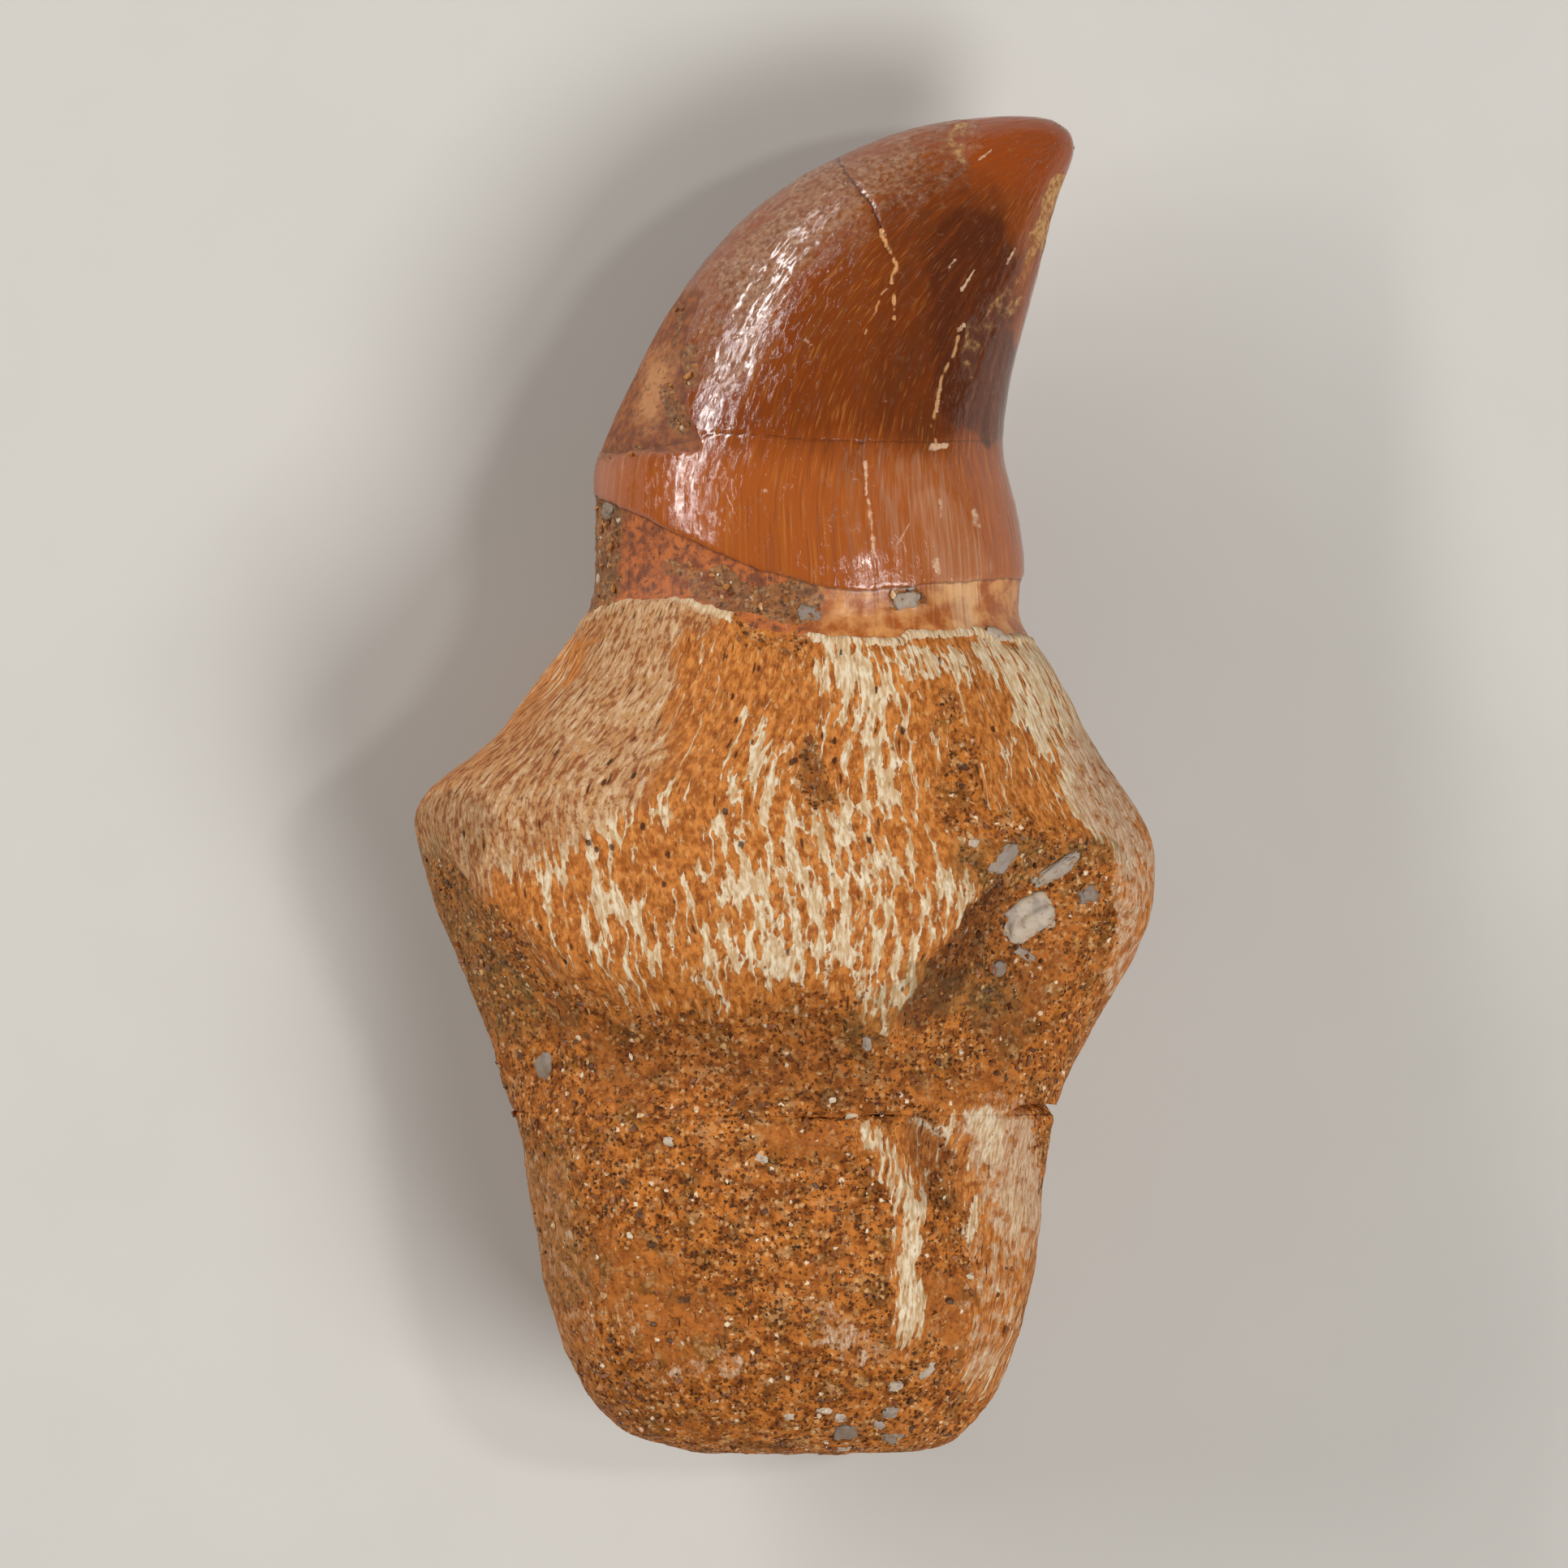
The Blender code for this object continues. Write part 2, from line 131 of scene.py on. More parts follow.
# Strokes that paint the masks: from (x, y) to (x, y), the reach at either end, the level painted
CREAM = (
    ((-5.0, 6.6), (-7.0, 2.0), 1.7, 2.4, 0.66),
    ((-7.0, 2.0), (-9.6, -1.6), 2.4, 2.7, 0.66),
    ((-9.6, -1.6), (-13.6, -1.6), 2.7, 1.6, 0.62),
    ((-7.5, -5.6), (-4.5, -7.0), 1.4, 1.2, 0.40),
    ((-2.2, 6.6), (-3.5, 1.0), 1.9, 1.5, 0.06),
    ((-3.5, 1.0), (-5.2, -2.6), 1.5, 1.3, 0.12),
    ((-1.0, 5.0), (-1.0, 2.6), 2.0, 1.5, 0.20),
    ((-1.0, 1.2), (-1.6, -6.4), 1.5, 2.4, 0.52),
    ((2.4, 5.2), (4.0, 2.4), 1.2, 1.2, 0.64),
    ((4.0, 2.4), (4.2, 0.6), 1.1, 1.0, 0.58),
    ((1.1, -1.2), (1.5, -8.2), 1.6, 2.6, 0.58),
    ((4.2, -0.6), (4.2, -7.6), 1.3, 1.4, 0.52),
    ((-8.0, -3.6), (-6.4, -7.0), 1.4, 1.4, 0.50),
    ((0.6, 2.0), (0.8, 0.2), 1.1, 0.9, 0.20),
    ((6.6, 3.4), (7.4, -1.4), 2.2, 2.3, 0.20),
    ((5.2, 5.0), (9.6, 4.9), 0.9, 1.0, 0.66),
    ((9.6, 4.4), (12.6, 0.2), 1.2, 1.3, 0.72),
    ((12.6, 0.2), (14.4, -4.0), 1.3, 0.9, 0.66),
    ((14.1, -4.0), (13.4, -6.8), 0.9, 0.7, 0.55),
    ((12.8, -8.2), (11.2, -12.4), 0.8, 0.8, 0.55),
    ((3.7, -10.4), (4.4, -8.6), 0.14, 0.42, 0.66),
    ((4.4, -8.6), (5.2, -6.2), 0.42, 0.85, 0.62),
    ((5.2, -6.2), (6.6, -4.2), 0.90, 0.90, 0.60),
    ((8.4, -13.8), (9.4, -17.4), 1.5, 1.4, 0.52),
    ((9.9, -14.2), (10.0, -17.0), 0.7, 0.6, 0.72),
    ((7.4, -17.0), (7.2, -19.4), 0.5, 0.4, 0.66),
    ((9.0, -19.6), (8.0, -23.4), 1.0, 0.8, 0.46),
    ((3.4, -14.2), (5.2, -16.9), 0.5, 0.55, 0.70),
    ((5.3, -16.9), (5.0, -22.2), 0.60, 0.42, 0.70),
    ((-9.4, -14.4), (-8.2, -15.6), 0.5, 0.4, 0.44),
    ((-7.7, -18.2), (-7.5, -21.6), 0.4, 0.3, 0.42),
    ((7.9, -13.4), (8.6, -14.8), 0.32, 0.30, 0.95),
    ((5.8, -13.5), (6.6, -14.3), 0.22, 0.20, 0.80),
    ((9.2, -16.4), (9.3, -17.9), 0.26, 0.24, 0.90),
    ((1.4, -21.4), (3.2, -22.8), 0.8, 0.9, 0.50),
    ((-4.3, -23.6), (-2.3, -23.1), 0.5, 0.5, 0.46),
    ((-7.0, -21.2), (-6.2, -21.8), 0.4, 0.4, 0.50),
)
SAND = (
    ((-13.8, -4.4), (-11.4, -8.0), 1.3, 1.7, 1.0),
    ((-10.9, -9.0), (-9.4, -13.0), 1.6, 1.2, 0.8),
    ((1.0, 1.4), (1.3, 0.2), 0.55, 0.75, 0.60),
    ((1.3, 0.2), (1.7, -1.0), 0.75, 0.35, 0.60),
    ((6.6, 2.9), (7.2, 2.1), 0.7, 0.6, 0.62),
    ((7.3, 1.2), (7.0, -0.4), 0.9, 1.1, 0.66),
    ((6.6, -1.4), (8.8, -1.6), 0.8, 0.8, 0.8),
    ((9.6, -4.2), (10.2, -8.6), 3.1, 3.0, 1.0),
    ((12.6, -3.4), (12.2, -6.0), 1.0, 1.2, 0.9),
    ((6.8, -8.2), (8.0, -11.4), 1.8, 2.6, 0.95),
    ((12.6, -0.4), (14.6, -4.6), 1.0, 0.6, 0.0),
    ((-9.8, -16.0), (-8.6, -22.0), 1.4, 1.4, 0.45),
    ((5.4, -14.2), (5.0, -17.0), 0.9, 0.8, 0.25),
    ((8.2, -14.2), (9.2, -18.4), 1.9, 1.7, 0.12),
    ((9.2, -18.8), (8.0, -23.8), 1.5, 1.1, 0.22),
    ((5.0, -16.6), (5.0, -22.4), 0.7, 0.6, 0.05),
    ((3.4, -14.1), (5.0, -16.6), 0.55, 0.6, 0.05),
    ((1.4, -21.4), (3.2, -22.8), 0.9, 1.0, 0.54),
    ((-4.3, -23.6), (-2.3, -23.1), 0.7, 0.7, 0.55),
    ((-7.0, -21.2), (-6.2, -21.8), 0.5, 0.5, 0.52),
    ((3.8, -9.2), (6.9, -4.1), 0.7, 0.9, 0.0),
)
# Painted shade under the flare's rim, in the pit and the groove, along the mended break and in a crevice,
# with a few dark patches of the rock itself
SHADE = (
    ((-9.0, -9.6), (2.4, -10.0), 0.9, 1.2, 0.30),
    ((-6.4, -10.8), (2.2, -11.4), 1.5, 1.6, 0.45),
    ((0.2, -12.9), (2.4, -12.9), 0.30, 0.35, 0.70),
    ((-0.7, -24.6), (0.8, -22.9), 0.25, 0.35, 0.60),
    ((8.2, -6.4), (9.0, -9.0), 1.5, 1.6, 0.45),
    ((5.3, -9.2), (8.6, -4.4), 0.80, 0.55, 1.00),
    ((4.2, -11.2), (4.0, -13.0), 0.6, 0.7, 0.42),
    ((1.1, 1.2), (1.6, -0.4), 0.40, 0.45, 0.70),
    ((5.6, -13.8), (6.3, -16.4), 0.75, 0.60, 0.60),
    ((-14.6, -0.9), (-12.4, -1.7), 0.9, 1.1, 0.42),
)
CLOUDY = (
    ((12.2, 1.4), (14.6, -3.6), 1.1, 1.0, 1.0),
    ((14.4, -4.4), (12.6, -8.2), 0.9, 0.8, 0.9),
    ((12.2, -9.0), (11.0, -12.8), 0.7, 0.6, 0.7),
    ((8.6, -13.8), (10.0, -18.4), 1.6, 1.5, 0.9),
    ((7.9, -13.4), (8.6, -14.8), 0.40, 0.36, 0.2),
    ((9.2, -16.4), (9.3, -17.9), 0.34, 0.30, 0.2),
    ((1.4, -21.4), (3.2, -22.8), 1.0, 1.0, 0.9),
    ((-4.3, -23.6), (-2.3, -23.1), 0.7, 0.7, 0.9),
    ((8.8, -19.4), (7.4, -22.6), 1.4, 1.2, 0.6),
    ((-10.2, -14.0), (-8.2, -23.0), 1.0, 1.2, 0.8),
)
CALM = (
    ((-6.6, -19.6), (-4.4, -21.8), 1.7, 1.9, 0.9),
    ((6.6, -21.0), (8.4, -23.4), 1.3, 1.2, 0.9),
    ((-0.4, -14.2), (1.6, -14.4), 0.6, 0.8, 0.9),
    ((-3.6, -15.6), (-6.0, -17.2), 1.0, 1.0, -0.3),
    ((0.8, -17.8), (-2.2, -18.4), 1.1, 1.0, -0.3),
    ((5.6, -12.0), (8.6, -12.2), 0.7, 0.8, 0.7),
    ((11.0, -6.2), (9.2, -10.4), 0.9, 1.0, 0.6),
    ((-8.4, -9.8), (-6.4, -12.2), 1.0, 1.1, 0.6),
)
GREEN = (
    ((-14.2, -3.0), (-11.0, -9.0), 0.8, 1.5, 0.7),
    ((7.2, -3.2), (12.8, -2.8), 0.8, 0.8, 0.6),
    ((5.4, -7.8), (8.2, -8.6), 0.9, 1.4, 0.7),
    ((3.0, -10.0), (4.2, -8.8), 0.8, 0.7, 0.6),
    ((-9.6, -15.0), (-8.8, -20.0), 1.2, 1.2, 0.5),
)
TAN = (
    ((-8.8, 6.6), (-3.0, 6.7), 0.8, 0.4, 1.0),
    ((-5.4, 6.2), (-7.6, 1.6), 1.5, 2.5, 1.0),
    ((-7.4, 1.6), (-13.4, -2.0), 2.8, 2.6, 1.0),
    ((9.6, -14.4), (9.8, -17.4), 1.2, 1.0, 0.4),
)
# Painted shade: the crown's right side, turned away from the light, is painted darker over its own darker
# brown
DARK_AND_SHADED_ENAMEL = (
    ((3.8, 20.6), (2.6, 15.2), 2.6, 3.0, 0.30),
    ((6.6, 22.6), (5.8, 15.6), 2.8, 2.4, 0.55),
    ((7.6, 21.4), (7.4, 15.6), 1.9, 1.4, 0.85),
    ((8.6, 17.6), (8.4, 14.4), 0.9, 0.8, 0.80),
)
# The bloomed, crinkled skin on the back of the crown, which also takes a painted lilac-grey sheen
BLOOM_AND_SHEEN = (
    ((-4.4, 17.4), (-2.6, 20.4), 1.6, 1.9, 0.30),
    ((-2.6, 20.4), (1.2, 23.2), 2.4, 2.3, 0.45),
    ((1.2, 23.2), (6.6, 25.8), 2.2, 1.5, 0.42),
    ((-2.2, 17.2), (-1.4, 20.0), 1.3, 1.5, 0.55),
    ((-1.4, 20.4), (1.4, 23.4), 1.3, 1.3, 0.90),
    ((1.4, 23.4), (4.8, 25.0), 1.3, 0.8, 0.75),
)
# Painted glow: the tip is painted redder, where light would shine through its thin enamel
TIP_GLOW = (((8.6, 25.6), (11.4, 25.6), 1.6, 1.5, 1.0),)
WORN_STRIP = (
    ((11.3, 24.6), (10.7, 23.2), 0.32, 0.40, 1.0),
    ((10.7, 23.2), (9.9, 21.4), 0.40, 0.36, 0.8),
    ((9.7, 20.8), (8.4, 18.6), 0.35, 0.40, 0.5),
    ((7.7, 18.6), (7.5, 16.4), 0.35, 0.30, 0.45),
    ((7.2, 25.2), (7.0, 26.2), 0.40, 0.35, 0.6),
)
CHIP_PALE = (
    ((-5.0, 17.0), (-5.6, 14.7), 0.85, 0.75, 0.50),
    ((-5.1, 16.6), (-5.6, 15.0), 0.45, 0.40, 0.95),
)
CHIP_DARK = (
    ((-3.9, 17.4), (-3.7, 16.2), 0.40, 0.30, 1.0),
    ((-4.7, 15.9), (-4.2, 14.4), 0.30, 0.40, 1.0),
    ((-4.2, 19.4), (-4.4, 17.8), 0.18, 0.16, 0.8),
    ((-7.2, 13.3), (-5.4, 13.6), 0.30, 0.30, 0.5),
)
# Painted highlights: small glints and bright streaks on the lower enamel, among real pale flecks, scratches
# and the pale long crack
FLECKS_AND_GLINTS = (
    ((7.10, 19.9), (7.65, 20.75), 0.075, 0.035, 1.0),
    ((6.62, 20.85), (6.90, 21.2), 0.065, 0.03, 0.8),
    ((7.90, 25.2), (8.35, 25.6), 0.07, 0.04, 0.8),
    ((8.90, 21.0), (9.30, 21.7), 0.06, 0.03, 0.7),
    ((7.00, 18.3), (7.20, 18.5), 0.10, 0.08, 0.8),
    ((5.90, 13.50), (6.45, 13.62), 0.16, 0.12, 1.0),
    ((6.10, 15.0), (6.25, 16.2), 0.07, 0.06, 0.7),
    ((0.90, 17.8), (1.05, 17.6), 0.12, 0.10, 0.5),
    ((-0.75, 11.75), (-0.60, 11.65), 0.13, 0.12, 0.4),
    ((0.05, 11.95), (0.30, 11.85), 0.14, 0.12, 0.5),
    ((3.25, 12.9), (3.30, 11.6), 0.09, 0.07, 0.9),
    ((3.35, 11.4), (3.60, 9.2), 0.07, 0.08, 0.7),
    ((7.6, 10.9), (7.7, 10.4), 0.18, 0.16, 0.6),
    ((6.07, 9.0), (6.17, 8.5), 0.10, 0.10, 0.9),
    ((5.94, 8.95), (6.14, 8.40), 0.08, 0.08, 0.7),
    ((6.20, 11.4), (6.25, 10.7), 0.08, 0.07, 0.5),
    ((4.42, 9.45), (4.98, 10.4), 0.06, 0.05, 0.6),
    ((5.66, 10.2), (5.75, 9.9), 0.07, 0.06, 0.5),
)
# Painted sheen: pale streaks where the lower right enamel catches the light, and a painted highlight on the
# cement band
SHEEN = (
    ((3.6, 12.2), (4.6, 8.6), 1.6, 2.2, 0.22),
    ((5.4, 11.6), (6.4, 8.8), 1.8, 2.0, 0.36),
    ((6.0, 11.0), (7.0, 8.8), 1.0, 1.2, 0.58),
    ((7.25, 7.5), (7.3, 6.6), 0.70, 0.55, 0.80),
)
BAND_SAND = (
    ((-8.2, 10.8), (-7.6, 7.2), 2.1, 0.9, 1.0),
    ((-2.4, 8.0), (0.8, 7.1), 0.75, 0.8, 1.0),
    ((-4.6, 8.6), (-2.2, 7.6), 0.6, 0.6, 0.55),
    ((4.6, 7.3), (5.2, 7.5), 0.5, 0.4, 0.9),
)

# Pebbles: the middle, the half sizes along and across, the slope in degrees, and the tint
PEBBLES = (
    ((9.95, -5.35), 1.20, 0.80, 22, 0.95),
    ((8.85, -3.00), 0.80, 0.36, 45, 0.55),
    ((10.90, -3.45), 1.10, 0.36, 30, 0.70),
    ((9.60, -6.80), 0.62, 0.22, -30, 0.60),
    ((8.60, -7.40), 0.46, 0.36, 10, 0.35),
    ((12.20, -4.45), 0.46, 0.36, 0, 0.45),
    ((7.55, -2.35), 0.26, 0.20, 0, 0.95),
    ((4.95, 7.35), 0.55, 0.36, 12, 0.65),
    ((1.00, 6.85), 0.46, 0.36, 0, 0.40),
    ((8.60, 6.05), 0.55, 0.24, -4, 0.90),
    ((-7.10, 11.05), 0.42, 0.34, 20, 0.45),
    ((-7.45, 8.30), 0.18, 0.26, 0, 1.00),
    ((2.79, -13.27), 0.32, 0.16, 6, 1.00),
    ((-4.60, -14.30), 0.26, 0.18, -10, 1.00),
    ((-0.90, -14.95), 0.28, 0.17, -16, 0.95),
    ((-9.60, -11.30), 0.45, 0.60, -20, 0.45),
    ((3.30, -10.35), 0.20, 0.34, 0, 0.60),
    ((5.74, -23.55), 0.48, 0.28, 35, 0.95),
    ((4.46, -24.17), 0.33, 0.27, 0, 0.95),
    ((4.26, -25.26), 0.34, 0.30, 0, 0.60),
    ((3.80, -25.76), 0.30, 0.18, -40, 0.85),
    ((2.28, -25.46), 0.28, 0.23, 0, 1.00),
    ((1.62, -25.16), 0.30, 0.17, -10, 1.00),
    ((0.20, -25.40), 0.22, 0.18, 0, 1.00),
    ((2.24, -26.75), 0.48, 0.22, 0, 0.90),
    ((2.45, -26.05), 0.52, 0.40, 0, 0.30),
    ((4.35, -26.30), 0.46, 0.34, 10, 0.50),
)
SAND_GRAINS = 3600
GRAIN_HALF_SIZES = (0.04, 0.19)


def smooth_step(start, end, value):
    """0 before start and 1 after end, with a soft turn at each, whichever way they run."""
    share = np.clip((value - start) / (end - start), 0, 1)
    return share * share * (3 - 2 * share)


def height_on(line, x):
    """The y of a line at each x."""
    across, up = np.array(line).T
    return np.interp(x, across, up)


def along_and_away(start, end, x, y):
    """How far along a straight line each place lies, from 0 to 1, and how far away from it."""
    (x0, y0), (x1, y1) = start, end
    share = ((x - x0) * (x1 - x0) + (y - y0) * (y1 - y0)) / ((x1 - x0) ** 2 + (y1 - y0) ** 2)
    share = np.clip(share, 0, 1)
    return share, np.hypot(x - x0 - share * (x1 - x0), y - y0 - share * (y1 - y0))


def distance_to(line, x, y):
    """How far each place is from a line of points."""
    nearest = np.full(x.shape, np.inf)
    for start, end in zip(line, line[1:]):
        nearest = np.minimum(nearest, along_and_away(start, end, x, y)[1])
    return nearest


def painted(strokes, x, y, ground):
    """The level of a mask at each place: each stroke is painted over those before it."""
    level = np.full(x.shape, ground, float)
    for start, end, start_reach, end_reach, amount in strokes:
        share, away = along_and_away(start, end, x, y)
        cover = smooth_step(1.2, 0.7, away / (start_reach + (end_reach - start_reach) * share))
        level += cover * (amount - level)
    return level


def shown(front, strokes, x, y, behind=0.0, ground=0.0):
    """A mask painted on the side that the photo shows, with a level of its own behind."""
    return front * painted(strokes, x, y, ground) + (1 - front) * behind


def rough(places, size, seed):
    """Soft noise from about -1 to 1, with lumps of that size, which may differ by direction."""
    offset = np.array((seed * 13.7, seed * 5.3, seed * 9.1))
    return np.array([noise.noise(place) for place in (places / size + offset).tolist()])


def cells(places, size, seed):
    """How far each place is from the nearest of scattered points, and that point's random number."""
    offset = np.array((seed * 11.3, seed * 7.9, seed * 3.1))
    nearest, number = [], []
    for place in (places / size + offset).tolist():
        distances, points = noise.voronoi(place)
        nearest.append(distances[0])
        number.append(noise.cell(points[0] * 17.3))
    return np.array(nearest), np.array(number) * 0.5 + 0.5


def add_object(name, data):
    item = bpy.data.objects.new(name, data)
    bpy.context.scene.collection.objects.link(item)
    return item


def take_up(piece):
    """Makes a piece the only one selected, and the active one."""
    bpy.ops.object.select_all(action="DESELECT")
    piece.select_set(True)
    bpy.context.view_layer.objects.active = piece


def finish_modifiers(piece):
    take_up(piece)
    for modifier in list(piece.modifiers):
        bpy.ops.object.modifier_apply(modifier=modifier.name)


def add_remesh(piece, voxel, smoothing):
    remesh = piece.modifiers.new("even_faces", "REMESH")
    remesh.mode = "VOXEL"
    remesh.voxel_size = voxel * MM
    soften = piece.modifiers.new("soften", "SMOOTH")
    soften.factor = 0.5
    soften.iterations = smoothing
    finish_modifiers(piece)


def smooth_form():
    """A copy of the tooth's solid with its facets smoothed away."""
    form = add_object("tooth_form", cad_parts["tooth"].data.copy())
    take_up(form)
    bpy.ops.object.mode_set(mode="EDIT")
    bpy.ops.mesh.select_all(action="SELECT")
    bpy.ops.mesh.remove_doubles(threshold=0.000001)
    bpy.ops.mesh.tris_convert_to_quads(face_threshold=math.radians(50), shape_threshold=math.radians(50))
    bpy.ops.object.mode_set(mode="OBJECT")
    rounding = form.modifiers.new("rounding", "SUBSURF")
    rounding.levels = rounding.render_levels = 1
    add_remesh(form, FORM_VOXEL, 3)
    return form


def cut_from(form, name, low_y, high_y):
    """A closed piece of the form between two heights along the tooth."""
    piece = add_object(name, form.data.copy())
    take_up(piece)
    for height, up in ((low_y, 1), (high_y, -1)):
        if height is None:
            continue
        bpy.ops.object.mode_set(mode="EDIT")
        bpy.ops.mesh.select_all(action="SELECT")
        bpy.ops.mesh.bisect(
            plane_co=(0, height * MM, 0), plane_no=(0, -up, 0), use_fill=True, clear_outer=True
        )
        bpy.ops.object.mode_set(mode="OBJECT")
    return piece


def read_vectors(items, name):
    flat = np.empty(len(items) * 3)
    items.foreach_get(name, flat)
    return flat.reshape(-1, 3)


def refine_front(piece, least_rise):
    """Halves the faces that look up, where the finest relief is seen from nearest."""
    faces = piece.data.polygons
    faces.foreach_set("select", read_vectors(faces, "normal")[:, 2] > least_rise)
    take_up(piece)
    bpy.ops.object.mode_set(mode="EDIT")
    bpy.ops.mesh.select_mode(type="FACE")
    bpy.ops.mesh.subdivide(number_cuts=1)
    bpy.ops.mesh.select_all(action="SELECT")
    bpy.ops.mesh.vertices_smooth(factor=0.5, repeat=2)
    bpy.ops.object.mode_set(mode="OBJECT")


def places_of(piece):
    return read_vectors(piece.data.vertices, "co") / MM


def normals_of(piece):
    return read_vectors(piece.data.vertex_normals, "vector")


def put_places(piece, places):
    piece.data.vertices.foreach_set("co", (places * MM).ravel())
    piece.data.update()


def put_mask(piece, name, values):
    mask = piece.data.attributes.new(name, "FLOAT", "POINT")
    mask.data.foreach_set("value", values.astype(np.float32))


def put_flow_and_masks(piece, flow, **masks):
    attribute = piece.data.attributes.new("flow", "FLOAT_VECTOR", "POINT")
    attribute.data.foreach_set("vector", flow.astype(np.float32).ravel())
    for name, values in masks.items():
        put_mask(piece, name, values)


def dress(piece, material):
    """Gives a finished piece its material and its place in the frame."""
    piece.data.materials.clear()
    piece.data.materials.append(material)
    piece.data.shade_smooth()
    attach(piece, "root")
    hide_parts("tooth")


class RootFlow:
    """How far round the root a place lies, so that fibres can spread with its width."""

    BIN = 0.5
    RADIUS = 9.0

    def __init__(self, form):
        places = places_of(form)
        self.heights = np.arange(LOW[1] + 1.5, ROOT_TOP + 2, self.BIN)
        rows = []
        for height in self.heights:
            near = places[np.abs(places[:, 1] - height) < self.BIN]
            low, high = near.min(axis=0), near.max(axis=0)
            middle, half = (low + high) / 2, (high - low) / 2
            rows.append((middle[0], half[0], middle[2], half[2]))
        even = np.ones(5) / 5
        padded = [np.pad(row, 2, mode="edge") for row in np.array(rows).T]
        self.rows = [np.convolve(row, even, mode="valid") for row in padded]

    def inward(self, places, depth):
        """The move that takes each place that deep towards the middle of the tooth."""
        mid_x, _half_x, mid_z, _half_z = (np.interp(places[:, 1], self.heights, row) for row in self.rows)
        way = np.column_stack((mid_x - places[:, 0], mid_x * 0, mid_z - places[:, 2]))
        away = np.linalg.norm(way, axis=1)
        return way * (np.minimum(depth, 0.4 * away) / np.maximum(away, 0.01))[:, None]

    def at(self, places):
        mid_x, half_x, mid_z, half_z = (np.interp(places[:, 1], self.heights, row) for row in self.rows)
        turn = np.arctan2((places[:, 2] - mid_z) / half_z, (places[:, 0] - mid_x) / half_x)
        return np.column_stack((self.RADIUS * np.cos(turn), self.RADIUS * np.sin(turn), places[:, 1]))


def crown_flow(places):
    """How far across the crown a place lies, and how far from the tip: striae run to the tip."""
    x, y, z = places.T
    to_left, to_right = distance_to(LEFT_EDGE, x, y), distance_to(RIGHT_EDGE, x, y)
    across = to_left / (to_left + to_right + 0.001)
    return np.column_stack((16 * across, 0.3 * z, np.hypot(x - TIP[0], y - TIP[1])))


